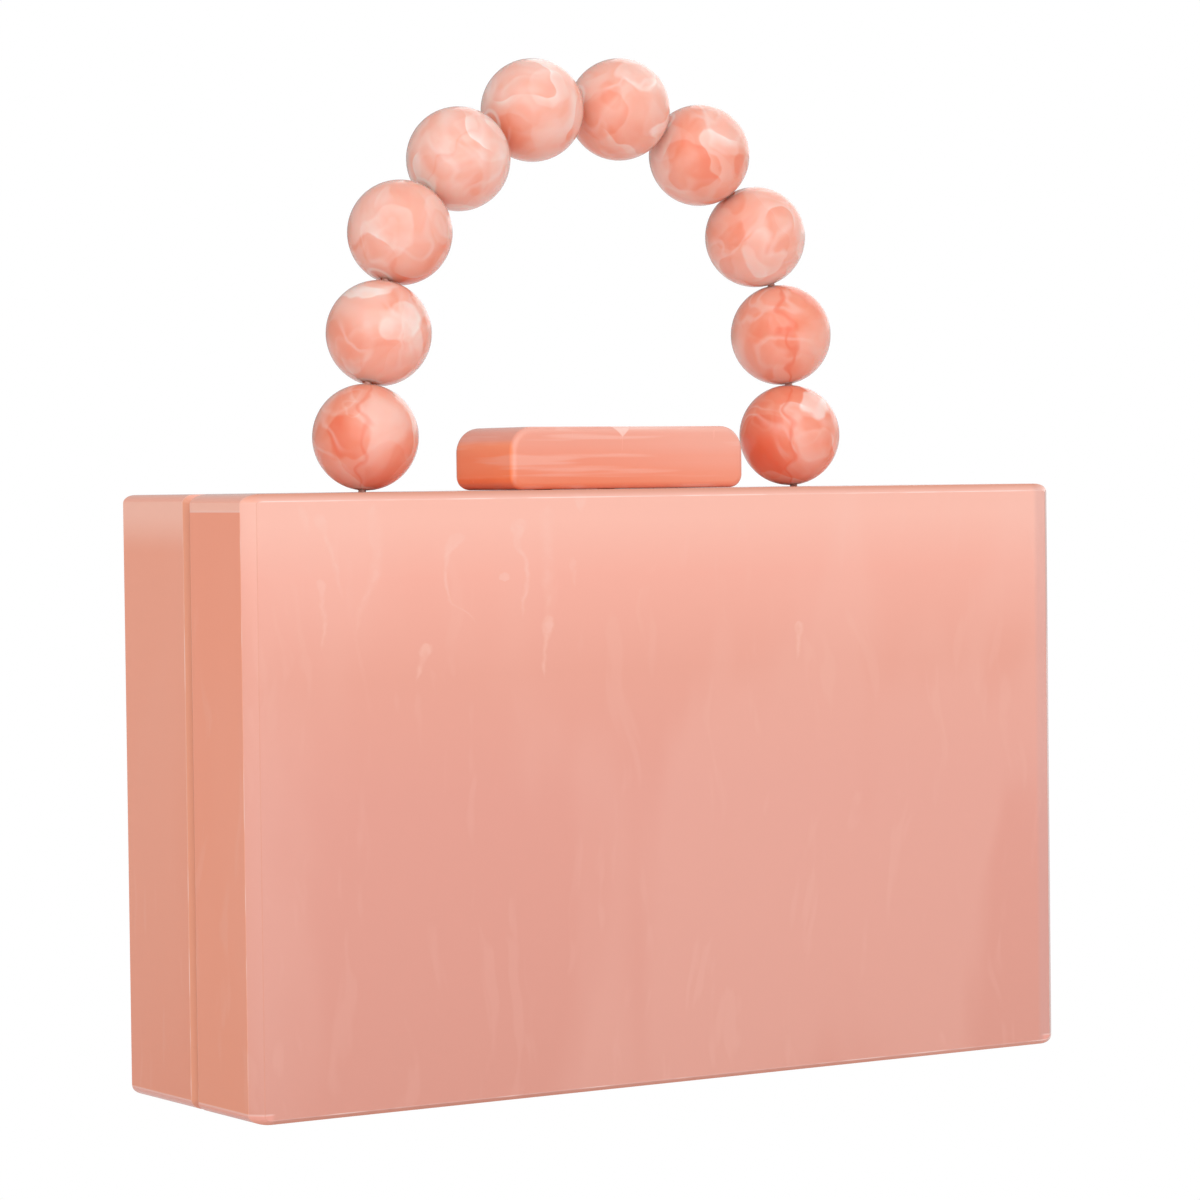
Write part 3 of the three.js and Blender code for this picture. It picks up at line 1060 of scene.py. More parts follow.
@dataclass
class Tray:
    """One half of the case: a hollow box with bevelled edges, open at the seam."""

    node: str
    piece_name: str
    body: Body
    side: int  # -1 for the front tray, +1 for the rear one
    upright_bevel: float
    top_bevel: float
    corner_wide: float  # rounding of the upper edges that run front to back, along X
    corner_tall: float  # the same, along Z
    foot_wide: float  # the same two sizes of the lower edges
    foot_tall: float
    base_bevel: float = 0.9 * MM
    seam_bevel: float = 1.4 * MM
    hinge_bevel: float = 2.0 * MM
    edge_rounding: float = 0.4 * MM
    floor_rounding: float = 0.9 * MM
    least_radius: float = 0.3 * MM
    flat: float = 4.0 * MM  # how far the outer face and the floor are drawn in before they are capped
    wall_glint: float = 0.7  # how strongly the edges behind the face glint
    face_crease: float = 0.45  # how deep the painted shade is at the bevel's start on the face
    deck_crease: float = 0.9  # the same on the bevel, above and below
    wall_crease: float = 0.12  # and on the left and right
    corner_steps: int = 8
    edge_steps: int = 4

    def __post_init__(self) -> None:
        """Reads the tray's box from the frame."""
        self.low, self.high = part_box(self.node)
        self.face = self.high.y if self.side > 0 else self.low.y
        self.depth = self.high.y - self.low.y

    def section(self, bevel: float, rim_bevel: float) -> list[tuple]:
        """Section of one wall as pull-in, depth behind the face and edge weight.

        Args:
            bevel: width of the bevel at the face.
            rim_bevel: width of the bevel at the seam.

        Returns:
            Points from the face, round the wall, to the floor inside.
        """
        corners = [
            (bevel + self.flat, 0.0), (bevel, 0.0), (0.0, bevel), (0.0, self.depth - rim_bevel),
            (rim_bevel, self.depth), (WALL, self.depth), (WALL, WALL), (WALL + self.flat, WALL),
        ]
        fine = self.edge_rounding
        radii = [fine, fine, fine, fine / 2, fine / 2, self.floor_rounding]
        return soft_path(corners, radii, self.edge_steps)

    def ring(self, across: tuple, above: tuple, below: tuple) -> list[tuple[Vector, float]]:
        """One closed line round the tray.

        Args:
            across: pull-in and depth at the left and right walls.
            above: pull-in and depth at the top wall.
            below: pull-in and depth at the base wall.

        Returns:
            The line's points, each with its share of the walls: 1 on a wall, 0 on the top or the base.
        """
        points = []
        for right, up, angle in round_corners(self.corner_steps):
            level = above if up > 0 else below
            wide = max((self.corner_wide if up > 0 else self.foot_wide) - across[0], self.least_radius)
            tall = max((self.corner_tall if up > 0 else self.foot_tall) - level[0], self.least_radius)
            wall = self.high.x if right > 0 else self.low.x
            deck = self.high.z if up > 0 else self.low.z
            share = math.cos(angle) ** 2
            depth = across[1] * share + level[1] * (1 - share)
            x = wall - right * (across[0] + wide) + wide * math.cos(angle)
            z = deck - up * (level[0] + tall) + tall * math.sin(angle)
            points.append((Vector((x, self.face - self.side * depth, z)), share))
        return points

    def marks(self, rows: Sequence[Sequence[tuple]], weights: Sequence[float]) -> dict[str, list]:
        """Where the edges glint, where the bevels get painted shade and where painted shade lies in the
        groove at the seam.

        Args:
            rows: the rings' points with their share of the walls.
            weights: the edge weight of each ring.

        Returns:
            The attributes' values, ring by ring.
        """
        corner = self.edge_steps + 1
        at_face = corner + 1
        on_bevel = range(corner - 1, 2 * corner)
        at_seam = range(3 * corner - 2, 4 * corner - 1)
        # crease and joint carry painted shade
        marks = {"edge": [], "crease": [], "joint": []}
        for index, (row, weight) in enumerate(zip(rows, weights)):
            glints = [weight * (1.0 - share if index < at_face else self.wall_glint) for _, share in row]
            marks["edge"].append(glints)
            marks["joint"].append([share if index in at_seam else 0.0 for _, share in row])
            if index < at_face:
                marks["crease"].append([self.face_crease * weight * share for _, share in row])
            else:
                less = self.deck_crease - self.wall_crease
                depths = [self.deck_crease - less * share if index in on_bevel else 0.0 for _, share in row]
                marks["crease"].append(depths)
        return marks

    def build(self, material: Material, cutters: Sequence[Mesh]) -> Object:
        """Makes and dresses the tray.

        Args:
            material: its finish.
            cutters: what is cut out of it.

        Returns:
            The finished piece.
        """
        walls = self.section(self.upright_bevel, self.seam_bevel)
        deck = self.section(self.top_bevel, self.seam_bevel)
        base = self.section(self.base_bevel, self.hinge_bevel)
        rows = [self.ring(*stations) for stations in zip(walls, deck, base)]
        marks = self.marks(rows, [station[2] for station in walls])
        piece = shown(self.piece_name, loft([[point for point, _ in row] for row in rows], marks))
        smooth_faces(carved(piece, cutters))
        return dress(piece, material, self.body, self.node)


@dataclass
class ClaspBlock:
    """The block that lies across the seam, with the slots and the bore for its hidden hinge."""

    shoulder: float = 5.2 * MM
    toe: float = 2.8 * MM
    least_radius: float = 0.3 * MM
    front_rounding: float = 1.4 * MM
    rear_rounding: float = 2.5 * MM
    lug_spread: float = 8.0 * MM
    lug_width: float = 3.0 * MM
    lug_thickness: float = 2.4 * MM
    pin_radius: float = 0.8 * MM
    pin_end: float = 3.5 * MM
    settle: float = 0.22 * MM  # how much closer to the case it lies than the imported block
    corner_steps: int = 12
    edge_steps: int = 8

    def __post_init__(self) -> None:
        """Reads the block's box from the frame and places its pivot."""
        self.low, self.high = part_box("clasp_bar")
        self.pivot = Vector((0.0, self.high.y - self.rear_rounding, self.low.z + self.rear_rounding))
        self.low.z -= self.settle
        self.high.y += self.settle
        self.rear_rounding += self.settle

    def outline(self, y: float, inset: float) -> list[Vector]:
        """The block's outline from the front, pulled in.

        Args:
            y: where along the depth it lies.
            inset: how far it is pulled in.

        Returns:
            The outline's points.
        """
        points = []
        for right, up, angle in round_corners(self.corner_steps):
            radius = max((self.shoulder if up > 0 else self.toe) - inset, self.least_radius)
            x = (self.high.x if right > 0 else self.low.x) - right * (inset + radius)
            z = (self.high.z if up > 0 else self.low.z) - up * (inset + radius)
            points.append(Vector((x + radius * math.cos(angle), y, z + radius * math.sin(angle))))
        return points

    def lug_slots(self, depths: tuple[float, float], heights: tuple[float, float]) -> list[Mesh]:
        """Cutters for the slots of the two lugs.

        Args:
            depths: from and to along Y.
            heights: from and to along Z.

        Returns:
            The two cutters.
        """
        half = self.lug_width / 2 + GAP
        return [
            cutter_box((middle - half, depths[0], heights[0]), (middle + half, depths[1], heights[1]))
            for middle in (-self.lug_spread, self.lug_spread)
        ]

    def cutters(self) -> list[Mesh]:
        """What the hidden hinge needs cut out of the block.

        Returns:
            Two slots and a bore.
        """
        clear = self.lug_thickness / 2 + GAP
        depths = self.pivot.y - clear, self.high.y + MM
        slots = self.lug_slots(depths, (self.low.z - MM, self.pivot.z + clear))
        half = Vector((self.lug_spread + self.lug_width / 2 + self.pin_end + GAP, 0.0, 0.0))
        return [*slots, round_rod(self.pivot - half, self.pivot + half, self.pin_radius + GAP)]

    def build(self, finish: ClaspAcrylic, effects: Effects) -> Object:
        """Makes and dresses the block.

        Args:
            finish: its finish.
            effects: the shared groups.

        Returns:
            The finished piece.
        """
        rings, weights = [], []
        angles = [math.pi / 2 * step / self.edge_steps for step in range(self.edge_steps + 1)]
        front = [(self.low.y, self.front_rounding, angle) for angle in angles]
        rear = [(self.high.y, -self.rear_rounding, angle) for angle in reversed(angles)]
        for face, radius, angle in front + rear:
            inset = abs(radius) * (1 - math.sin(angle))
            rings.append(self.outline(face + radius * (1 - math.cos(angle)), inset))
            weights.append([math.sin(2 * angle) ** 4] * len(rings[-1]))
        piece = shown("clasp_block", loft(rings, {"edge": weights}))
        smooth_faces(carved(piece, self.cutters()))
        return dress(piece, finish.build(effects, self.low, self.high), Body.CLASP, "clasp_bar")


@dataclass(frozen=True)
class Patch:
    """One folded patch of resin on a bead."""

    turn: float  # degrees to the right of the side that faces front left
    rise: float  # degrees above the bead's middle
    reach: float  # degrees from its middle to its rim
    shade: float  # above 0 paler, below 0 deeper
    fade: float = 0.5  # share of the shade that is gone in its middle

    def way(self) -> Vector:
        """Direction of its middle from the bead's centre."""
        around, rise = math.radians(FACING + self.turn), math.radians(self.rise)
        return Vector((math.cos(rise) * math.cos(around), math.cos(rise) * math.sin(around), math.sin(rise)))

    def form(self) -> Vector:
        """Cosine of its reach, its shade and its fade."""
        return Vector((math.cos(math.radians(self.reach)), self.shade, self.fade))


NO_PATCH = Patch(0.0, 0.0, 1.0, 0.0)


@dataclass(frozen=True)
class BeadLook:
    """How one bead came out of its mould."""

    seed: float
    tone: float  # above 0 paler, below 0 deeper
    lean: float  # painted light: change of shade at its top, and the opposite one at its foot
    seam: float  # degrees round the bore of its fold
    fold: float  # change of shade at the fold; below 0 the paler side lies the other way
    crease: float  # depth of the line along the fold
    patches: tuple[Patch, ...]

    def patch(self, number: int) -> Patch:
        """The patch of that number, or one without effect."""
        return self.patches[number] if number < len(self.patches) else NO_PATCH


BEAD_LOOKS = (
    BeadLook(3.1, 0.20, -0.06, -123.0, 0.03, 0.7, (
        Patch(-20, -8, 27, -0.22, 0.0), Patch(30, -46, 34, -0.08, 0.0), Patch(-44, 46, 21, 0.20, 0.7),
        Patch(-2, 36, 9, 0.30, 1.2))),
    BeadLook(7.7, 0.31, -0.10, -100.0, 0.05, 0.0, (
        Patch(-25, 76, 36, 0.28, 0.6), Patch(27, 8, 24, 0.28, 0.2), Patch(72, -8, 22, -0.28, 0.2),
        Patch(-20, -14, 26, 0.10, 1.0))),
    BeadLook(12.4, 0.28, 0.14, 20.0, 0.05, 0.0, (
        Patch(-13, -10, 31, 0.16, 1.0), Patch(-16, -16, 19, 0.10, 1.0), Patch(62, 20, 26, 0.10))),
    BeadLook(18.9, 0.51, 0.0, -120.0, 0.05, 0.25, (
        Patch(3, 8, 7, -0.15, 0.3), Patch(18, -38, 11, -0.15, 0.3), Patch(-12, -32, 36, -0.08, 0.0),
        Patch(44, 30, 32, 0.10, 1.0))),
    BeadLook(23.3, 0.38, 0.12, 60.0, 0.05, 0.0, (
        Patch(25, 20, 28, 0.13, 0.8), Patch(-50, 32, 20, 0.12, 0.8), Patch(0, -6, 24, -0.06, 1.0),
        Patch(-30, -40, 30, -0.10, 0.0))),
    BeadLook(29.6, 0.33, 0.05, -160.0, 0.05, 0.0, (
        Patch(36, 36, 25, 0.28, 0.6), Patch(-18, -12, 30, -0.16, 0.2), Patch(-8, 14, 10, -0.10, 0.0),
        Patch(40, -16, 26, 0.09, 0.8))),
    BeadLook(35.2, 0.30, -0.05, -110.0, -0.04, 0.0, (
        Patch(38, 28, 30, 0.14, 0.3), Patch(-12, -18, 30, -0.20, 0.1), Patch(-46, 14, 22, 0.13, 0.4),
        Patch(68, -15, 13, -0.20, 0.0))),
    BeadLook(41.8, 0.35, -0.09, -95.0, 0.05, 0.0, (
        Patch(12, -24, 24, 0.24, 0.2), Patch(-35, 4, 12, -0.16, 0.2), Patch(-42, 38, 22, -0.15, 0.3),
        Patch(-18, -42, 22, 0.15, 0.4))),
    BeadLook(47.5, 0.20, -0.16, -118.0, -0.05, 1.0, (
        Patch(-22, 14, 15, -0.12, 0.3), Patch(4, -4, 9, -0.28, 0.2), Patch(2, 20, 6, -0.25, 0.3),
        Patch(-14, -28, 24, 0.06, 0.5))),
    BeadLook(53.9, 0.11, -0.08, -125.0, 0.10, 0.9, (
        Patch(32, 33, 21, 0.50, 0.1), Patch(-32, -16, 40, -0.12, 0.0), Patch(28, -16, 28, 0.20, 0.9),
        Patch(-34, 28, 17, 0.15, 0.8))),
)


@dataclass
class BeadedHandle:
    """Ten drilled beads on one cord, from foot to foot of the arch."""

    count: int = 10
    cord_radius: float = 0.8 * MM
    cord_bend: float = 4.0 * MM
    bore_clearance: float = 0.4 * MM
    cord_outset: float = 1.0 * MM
    stop_radius: float = 3.0 * MM
    stop_height: float = 2.5 * MM
    segments: int = 80
    rings: int = 40
    bore_sides: int = 24
    cord_sides: int = 20
    stop_sides: int = 32
    rim_degrees: float = 40.0  # edges that turn by more than this stay sharp
    reach: float = 0.05 * MM  # how far past its radius a bead's points are looked for

    def __post_init__(self) -> None:
        """Reads the beads' places from the frame."""
        boxes = [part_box(f"bead_{number:02d}") for number in range(1, self.count + 1)]
        self.centres = [(low + high) / 2 for low, high in boxes]
        self.radius = max(max(high - low) for low, high in boxes) / 2
        self.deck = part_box("rear_shell")[1].z
        self.bore = self.cord_radius + self.bore_clearance

    def cord_points(self) -> list[Vector]:
        """Where the cord crosses from bead to bead, and where it leaves the case at each end.

        Returns:
            The points, left to right.
        """
        first, last = self.centres[0], self.centres[-1]
        feet = [Vector((foot.x, foot.y, self.deck)) for foot in (first, last)]
        hub = Vector((0.0, first.y, first.z))
        joints = []
        for centre, following in zip(self.centres, self.centres[1:]):
            joint = (centre + following) / 2
            link = (following - centre).normalized()
            outward = joint - hub
            outward = (outward - link * outward.dot(link)).normalized()
            joints.append(joint + outward * self.cord_outset)
        outset = Vector((self.cord_outset, 0.0, 0.0))
        return [feet[0] - outset, *joints, feet[1] + outset]

    def path_mesh(self, points: Sequence[Vector]) -> Mesh:
        """The cord's way as a chain of edges, with the bead centres as loose points.

        Args:
            points: the chain's points.

        Returns:
            The mesh, with the look and the bore's direction of each bead on its centre.
        """
        mesh = bpy.data.meshes.new("bead_path")
        chain = [(index, index + 1) for index in range(len(points) - 1)]
        mesh.from_pydata([*points, *self.centres], chain, [])
        along = [(after - before).normalized() for before, after in zip(points, points[1:])]
        rows = {
            "bead_number": list(range(1, self.count + 1)),
            "bead_tone": [look.tone for look in BEAD_LOOKS],
            "bore_axis": [way if way.z > 0 else -way for way in along],
            "bead_seed": [Vector((look.seed, look.seed * 0.7, look.seed * 1.3)) for look in BEAD_LOOKS],
            "bead_lean": [Vector((0.0, 0.0, look.lean)) for look in BEAD_LOOKS],
            "bead_seam": [Vector((look.seam / 360.0, look.fold, look.crease)) for look in BEAD_LOOKS],
            "bead_centre": self.centres,
        }
        for number in range(PATCHES):
            rows[f"patch_way_{number}"] = [look.patch(number).way() for look in BEAD_LOOKS]
            rows[f"patch_form_{number}"] = [look.patch(number).form() for look in BEAD_LOOKS]
        kinds = {int: ("INT", "value"), float: ("FLOAT", "value"), Vector: ("FLOAT_VECTOR", "vector")}
        for name, values in rows.items():
            kind, key = kinds[type(values[0])]
            layer = mesh.attributes.new(name, kind, "POINT")
            for row, value in zip(layer.data[len(points):], values):
                setattr(row, key, value)
        return mesh

    @staticmethod
    def _run(name: str, mesh: Mesh, tree: NodeTree, values: dict[str, object]) -> Object:
        """Runs a geometry tree on a mesh and keeps the result as a plain mesh.

        Args:
            name: the new object's name.
            mesh: what the tree reads.
            tree: the tree.
            values: input name to its value.

        Returns:
            The object.
        """
        piece = shown(name, mesh)
        modifier = piece.modifiers.new(tree.name, "NODES")
        modifier.node_group = tree
        for item in tree.interface.items_tree:
            if item.in_out == "INPUT" and item.name in values:
                modifier[item.identifier] = values[item.name]
        return settled(piece)

    def bead_tree(self) -> NodeTree:
        """Geometry tree that sets a ball on each centre and drills it along the cord's way.

        Returns:
            The tree.
        """
        tree, nodes, given, out = node_group("Drilled beads on a path", "Geometry", {
            "Geometry": "Geometry", "Radius": 0.0, "Bore": 0.0, "Segments": "Int", "Rings": "Int",
            "Finish": "Material",
        }, {"Geometry": "Geometry"})
        number = nodes.named("bead_number", "INT")
        above = {"data_type": "INT", "operation": "GREATER_THAN"}
        is_bead = nodes.get("FunctionNodeCompare", {2: number, 3: 0}, **above)
        picked = {"Geometry": given["Geometry"], "Selection": is_bead}
        parts = nodes.add("GeometryNodeSeparateGeometry", picked, domain="POINT").outputs
        ball = nodes.geo("MeshUVSphere", {key: given[key] for key in ("Segments", "Rings", "Radius")})
        local = nodes.geo("InputPosition") * (1.0 / given["Radius"])
        marked = nodes.stored(ball, "bead_place", local, "FLOAT_VECTOR")
        axis = nodes.named("bore_axis", "FLOAT_VECTOR")
        turn = nodes.get("FunctionNodeAlignRotationToVector", {"Vector": axis}, axis="Z")
        points = nodes.geo("MeshToPoints", {"Mesh": parts["Selection"]})
        placed = nodes.geo("InstanceOnPoints", {"Points": points, "Instance": marked, "Rotation": turn})
        solid = nodes.geo("RealizeInstances", {0: placed})
        way = nodes.geo("MeshToCurve", {"Mesh": parts["Inverted"]})
        circle = nodes.geo("CurvePrimitiveCircle", {"Resolution": self.bore_sides, "Radius": given["Bore"]})
        drill = nodes.geo("CurveToMesh", {"Curve": way, "Profile Curve": circle, "Fill Caps": True})
        drilled = nodes.geo("MeshBoolean", {"Mesh 1": solid, "Mesh 2": drill}, operation="DIFFERENCE",
                            solver="EXACT")
        smooth = nodes.geo("SetShadeSmooth", {0: drilled, "Shade Smooth": True}, domain="FACE")
        gentle = nodes.reckon("LESS_THAN", nodes.geo("InputMeshEdgeAngle"), math.radians(self.rim_degrees))
        rimmed = nodes.geo("SetShadeSmooth", {0: smooth, "Shade Smooth": gentle}, domain="EDGE")
        whole = nodes.geo("RealizeInstances", {0: rimmed})
        painted = nodes.geo("SetMaterial", {0: whole, "Material": given["Finish"]})
        nodes.feed(out, {0: painted})
        return tree

    def cord_tree(self) -> NodeTree:
        """Geometry tree that sweeps the cord along its way and sets a stop at each end.

        Returns:
            The tree.
        """
        tree, nodes, given, out = node_group("Cord with stops", "Geometry", {
            "Geometry": "Geometry", "Radius": 0.0, "Bend": 0.0, "Stop Radius": 0.0, "Stop Height": 0.0,
            "Finish": "Material",
        }, {"Geometry": "Geometry"})
        way = nodes.geo("MeshToCurve", {"Mesh": given["Geometry"]})
        eased = nodes.add("GeometryNodeFilletCurve", {"Curve": way, "Radius": given["Bend"]})
        wanted = {"Mode": "Poly", "Count": 5, "Limit Radius": True}
        for socket in eased.inputs:
            if socket.name in wanted:
                socket.default_value = wanted[socket.name]
        along = nodes.geo("SplineParameter", None, "Length")
        marked = nodes.stored(Value(nodes, eased.outputs[0]), "cord_along", along, "FLOAT")
        circle = nodes.geo("CurvePrimitiveCircle", {"Resolution": self.cord_sides, "Radius": given["Radius"]})
        around = nodes.geo("SplineParameter", None, "Factor")
        profile = nodes.stored(circle, "cord_around", around, "FLOAT")
        swept = nodes.geo("CurveToMesh", {"Curve": marked, "Profile Curve": profile, "Fill Caps": True})
        ends = nodes.geo("CurveEndpointSelection")
        picked = nodes.geo("SeparateGeometry", {0: way, "Selection": ends}, domain="POINT")
        tips = nodes.geo("CurveToPoints", {"Curve": picked}, mode="EVALUATED")
        size = {"Vertices": self.stop_sides, "Radius": given["Stop Radius"], "Depth": given["Stop Height"]}
        stops = nodes.geo("InstanceOnPoints", {"Points": tips, "Instance": nodes.geo("MeshCylinder", size)})
        joined = nodes.add("GeometryNodeJoinGeometry", {0: swept})
        nodes.feed(joined, {0: stops})
        whole = nodes.geo("RealizeInstances", {0: joined.outputs[0]})
        painted = nodes.geo("SetMaterial", {0: whole, "Material": given["Finish"]})
        nodes.feed(out, {0: painted})
        return tree

    def build_beads(self, material: Material) -> None:
        """Makes the string of beads and keeps each bead as a piece of its own.

        Args:
            material: the beads' finish.
        """
        values = {"Radius": self.radius, "Bore": self.bore, "Segments": self.segments, "Rings": self.rings,
                  "Finish": material}
        whole = self._run("bead_string", self.path_mesh(self.cord_points()), self.bead_tree(), values)
        for number, centre in enumerate(self.centres, 1):
            bead = shown(f"marbled_bead_{number:02d}", self._only(whole.data, centre))
            dress(bead, material, Body.REAR, f"bead_{number:02d}")
        bpy.data.objects.remove(whole)

    def _only(self, mesh: Mesh, centre: Vector) -> Mesh:
        """One bead out of the string.

        Args:
            mesh: the whole string.
            centre: the bead's centre.

        Returns:
            A mesh with that bead alone.
        """
        copy = mesh.copy()
        body = bmesh.new()
        body.from_mesh(copy)
        reach = self.radius + self.reach
        others = [vertex for vertex in body.verts if (vertex.co - centre).length > reach]
        bmesh.ops.delete(body, geom=others, context="VERTS")
        body.to_mesh(copy)
        body.free()
        return copy

    def build_cord(self, material: Material) -> Object:
        """Makes and dresses the cord.

        Args:
            material: the cord's finish.

        Returns:
            The finished piece.
        """
        points = self.cord_points()
        under = self.deck - WALL - GAP - self.stop_height / 2
        ends = [Vector((point.x, point.y, under)) for point in (points[0], points[-1])]
        line = [ends[0], *points, ends[1]]
        mesh = bpy.data.meshes.new("cord_path")
        mesh.from_pydata(line, [(index, index + 1) for index in range(len(line) - 1)], [])
        values = {"Radius": self.cord_radius, "Bend": self.cord_bend, "Stop Radius": self.stop_radius,
                  "Stop Height": self.stop_height, "Finish": material}
        cord = smooth_faces(self._run("threaded_cord", mesh, self.cord_tree(), values))
        return dress(cord, material, Body.REAR, "handle_cord")


@dataclass
class Hardware:
    """The brass hinges at the base of the seam and the hidden hinge of the clasp block."""

    names: tuple[str, ...] = (
        "hinge_rear_1", "hinge_front_1", "hinge_pin_1", "hinge_rear_2", "hinge_front_2", "hinge_pin_2",
        "clasp_hinge",
    )

    def build(self, material: Material) -> None:
        """Gives the carried-over nodes their finish.

        Args:
            material: the brass.
        """
        for name in self.names:
            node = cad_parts[name]
            node.data.materials.clear()
            node.data.materials.append(material)
            LOG.info("%s: carried over, %s", name, material.name)


@dataclass
class Case:
    """The two trays and what is cut out of them."""

    barrel_radius: float = 1.7 * MM
    hinge_height: float = 2.0 * MM

    def hinge_notches(self) -> list[Mesh]:
        """Notches in the base of the seam for the hinge barrels.

        Returns:
            One cutter for each hinge.
        """
        seam = (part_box("front_shell")[1].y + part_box("rear_shell")[0].y) / 2
        reach = self.barrel_radius + GAP
        cutters = []
        for number in (1, 2):
            low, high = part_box(f"hinge_rear_{number}")
            cutters.append(cutter_box((low.x - GAP, seam - reach, -MM),
                                      (high.x + GAP, seam + reach, self.hinge_height + reach)))
        return cutters

    @staticmethod
    def deck_holes(handle: BeadedHandle, block: ClaspBlock) -> list[Mesh]:
        """Holes in the rear tray's top wall for the cord's ends and the clasp's lugs.

        Args:
            handle: the handle.
            block: the clasp block.

        Returns:
            The cutters.
        """
        points = handle.cord_points()
        under, over = Vector((0.0, 0.0, WALL + MM)), Vector((0.0, 0.0, MM))
        holes = [round_rod(point - under, point + over, handle.bore) for point in (points[0], points[-1])]
        clear = block.lug_thickness / 2 + GAP
        return [*holes, *block.lug_slots((block.pivot.y - clear, block.pivot.y + clear),
                                         (handle.deck - under.z, handle.deck + MM))]

    def build(self, effects: Effects, handle: BeadedHandle, block: ClaspBlock) -> None:
        """Makes both trays.

        Args:
            effects: the shared groups.
            handle: the handle, for its holes.
            block: the clasp block, for its slots.
        """
        front = Tray("front_shell", "front_tray", Body.FRONT, -1, upright_bevel=2.4 * MM, top_bevel=1.5 * MM,
                     corner_wide=4.2 * MM, corner_tall=1.9 * MM, foot_wide=4.2 * MM, foot_tall=1.8 * MM)
        rear = Tray("rear_shell", "rear_tray", Body.REAR, 1, upright_bevel=1.6 * MM, top_bevel=1.6 * MM,
                    corner_wide=2.6 * MM, corner_tall=1.7 * MM, foot_wide=4.0 * MM, foot_tall=2.4 * MM)
        low = Vector(map(min, front.low, rear.low))
        high = Vector(map(max, front.high, rear.high))
        front_finish = PouredAcrylic("Poured acrylic, front", runs=FRONT_RUNS).build(effects, low, high)
        # the rear tray's painted light: its own side colours, and a paler top band that fades in slowly, with
        # no painted glint line
        rear_finish = PouredAcrylic(
            "Poured acrylic, rear", side_low=(0.79, 0.284, 0.175, 1.0), side_high=(0.91, 0.375, 0.255, 1.0),
            deck_fade=9.0 * MM, deck_glint=0.0,
        ).build(effects, low, high)
        front.build(front_finish, self.hinge_notches())
        rear.build(rear_finish, [*self.hinge_notches(), *self.deck_holes(handle, block)])


# Studio


@dataclass(frozen=True)
class PhotoCamera:
    """The camera at the photograph's place and angle."""

    place: tuple[float, float, float] = (-483.7, -747.0, 124.8)
    yaw: float = 32.869
    pitch: float = 1.6285
    roll: float = -0.6953
    lens: float = 126.06
    sensor: float = 36.0

    def build(self) -> None:
        """Makes the camera and makes it the scene's."""
        yaw, pitch, roll = (math.radians(angle) for angle in (self.yaw, self.pitch, self.roll))
        ahead = Vector((math.sin(yaw) * math.cos(pitch), math.cos(yaw) * math.cos(pitch), -math.sin(pitch)))
        level = Vector((math.cos(yaw), -math.sin(yaw), 0.0))
        upright = level.cross(ahead)
        right = level * math.cos(roll) + upright * math.sin(roll)
        up = upright * math.cos(roll) - level * math.sin(roll)
        data = bpy.data.cameras.new("photo_camera")
        data.lens = self.lens
        data.sensor_width = self.sensor
        data.clip_start = 0.01
        data.clip_end = 50.0
        camera = shown("photo_camera", data)
        turn = Matrix((right, up, -ahead)).transposed().to_4x4()
        camera.matrix_world = Matrix.Translation(Vector(self.place) * MM) @ turn
        bpy.context.scene.camera = camera


@dataclass(frozen=True)
class Softbox:
    """One large soft lamp."""

    name: str
    place: tuple[float, float, float]
    size: float
    power: float


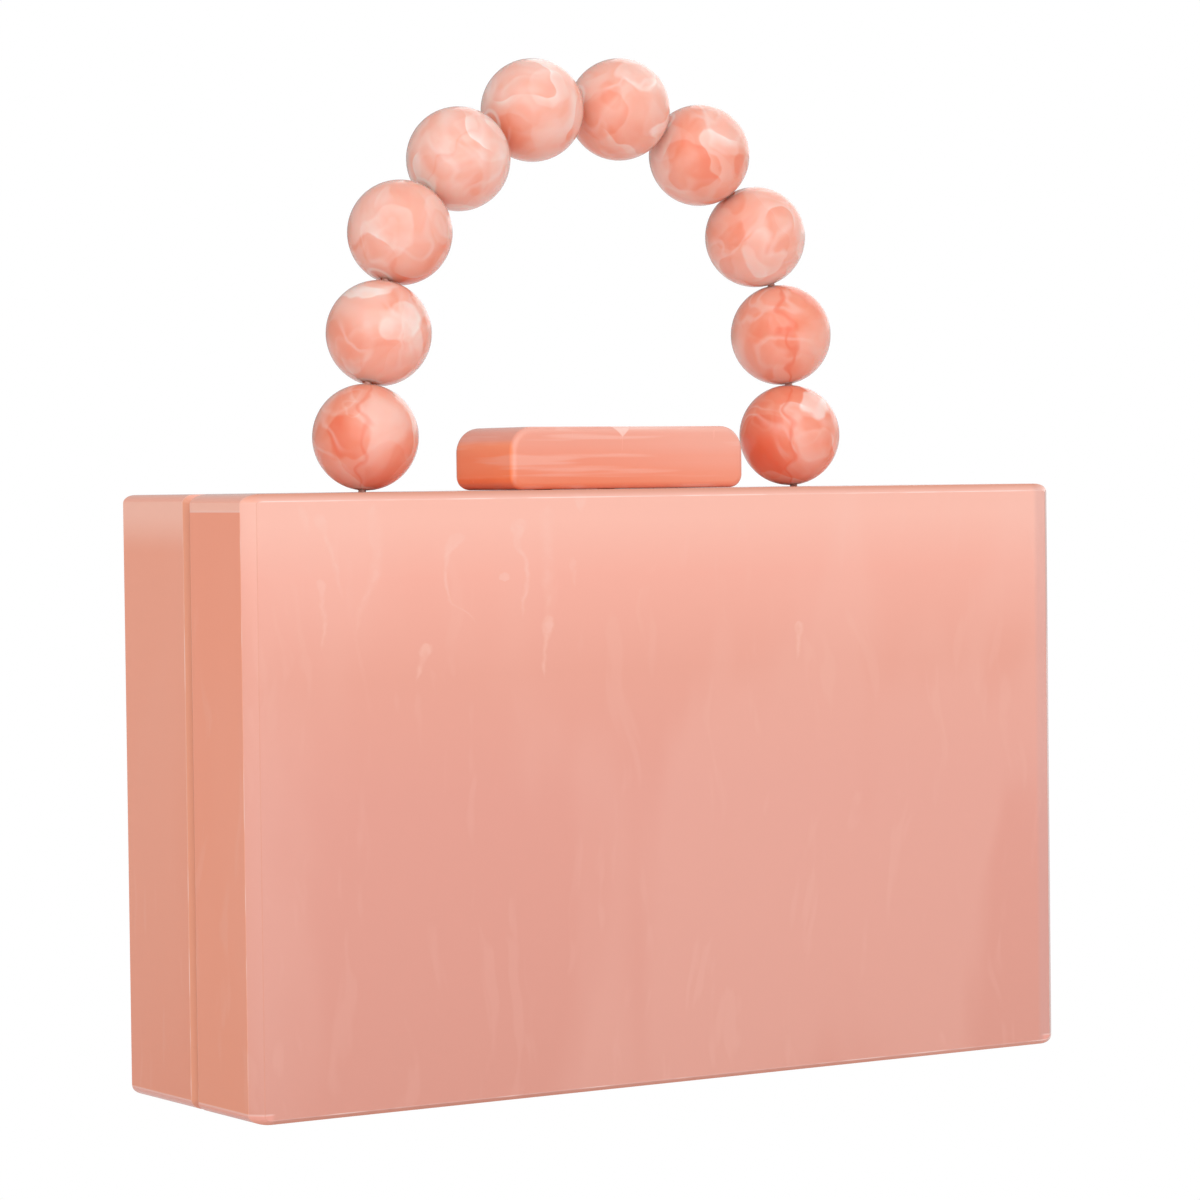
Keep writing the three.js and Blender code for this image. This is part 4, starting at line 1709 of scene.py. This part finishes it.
@dataclass(frozen=True)
class Studio:
    """Pale floor, pale surroundings with a dark screen behind on the left, and soft lamps front and back."""

    floor_size: float = 12.0
    floor_colour: Colour = (0.90, 0.90, 0.90, 1.0)
    floor_mottle: Colour = (0.93, 0.93, 0.93, 1.0)
    floor_drop: float = 26.0 * MM  # as low as the open front tray reaches
    fill: float = 0.74
    shade: float = 0.36
    shade_way: tuple[float, float, float] = (-0.55, 0.83, 0.0)
    aim: tuple[float, float, float] = (0.0, 0.0, 0.1)
    lamps: tuple[Softbox, ...] = (
        Softbox("front_box", (-1.3, -2.0, 1.15), 3.0, 40.0),
        Softbox("back_box", (2.1, 1.3, 1.5), 2.5, 14.0),
    )

    def build(self) -> None:
        """Makes the floor, the surroundings and the lamps."""
        bpy.context.scene.view_settings.view_transform = "Standard"
        self._floor()
        self._surroundings()
        for lamp in self.lamps:
            self._lamp(lamp)

    def _floor(self) -> None:
        """The pale floor, which lights the object from below and isn't seen itself, as in the photo."""
        body = bmesh.new()
        bmesh.ops.create_grid(body, x_segments=4, y_segments=4, size=self.floor_size)
        floor = shown("studio_floor", kept(body, "studio_floor"))
        material, nodes, shader = principled("Pale floor", Roughness=0.9, Specular_IOR_Level=0.0)
        mottle = nodes.noise(nodes.place(), 6.0, 3.0)
        nodes.feed(shader, {"Base Color": nodes.mix(mottle, self.floor_colour, self.floor_mottle)})
        floor.data.materials.append(material)
        floor.location.z = -self.floor_drop
        floor.visible_camera = False

    def _surroundings(self) -> None:
        """White surroundings that light the object less than they show behind it."""
        world = bpy.data.worlds.new("pale_room")
        world.use_nodes = True
        bpy.context.scene.world = world
        nodes = Nodes(world.node_tree)
        backing = next(node for node in world.node_tree.nodes if node.type == "BACKGROUND")
        seen = nodes.get("ShaderNodeLightPath", None, "Is Camera Ray")
        screen = nodes.get("ShaderNodeTexCoord", None, "Generated").dot(self.shade_way).step(0.1, 0.8)
        light = screen * (self.shade - self.fill) + self.fill
        nodes.feed(backing, {"Color": (1.0, 1.0, 1.0, 1.0), "Strength": nodes.reckon("MAXIMUM", seen, light)})

    def _lamp(self, lamp: Softbox) -> None:
        """Makes one lamp that faces the object.

        Args:
            lamp: its place, size and power.
        """
        data = bpy.data.lights.new(lamp.name, "AREA")
        data.size = lamp.size
        data.energy = lamp.power
        place = Vector(lamp.place)
        turn = (Vector(self.aim) - place).to_track_quat("-Z", "Y").to_matrix().to_4x4()
        shown(lamp.name, data).matrix_world = Matrix.Translation(place) @ turn


def main() -> None:
    """Builds the camera, the sub-assemblies in order and the studio."""
    logging.basicConfig(level=logging.INFO, format="%(name)s %(message)s")
    PhotoCamera().build()
    effects = Effects()
    handle = BeadedHandle()
    block = ClaspBlock()
    Case().build(effects, handle, block)
    block.build(ClaspAcrylic(), effects)
    handle.build_beads(MarbledResin().build(effects, handle.radius))
    handle.build_cord(TwistedThread().build())
    Hardware().build(RolledBrass().build(effects))
    Studio().build()


if __name__ == "__main__":
    main()
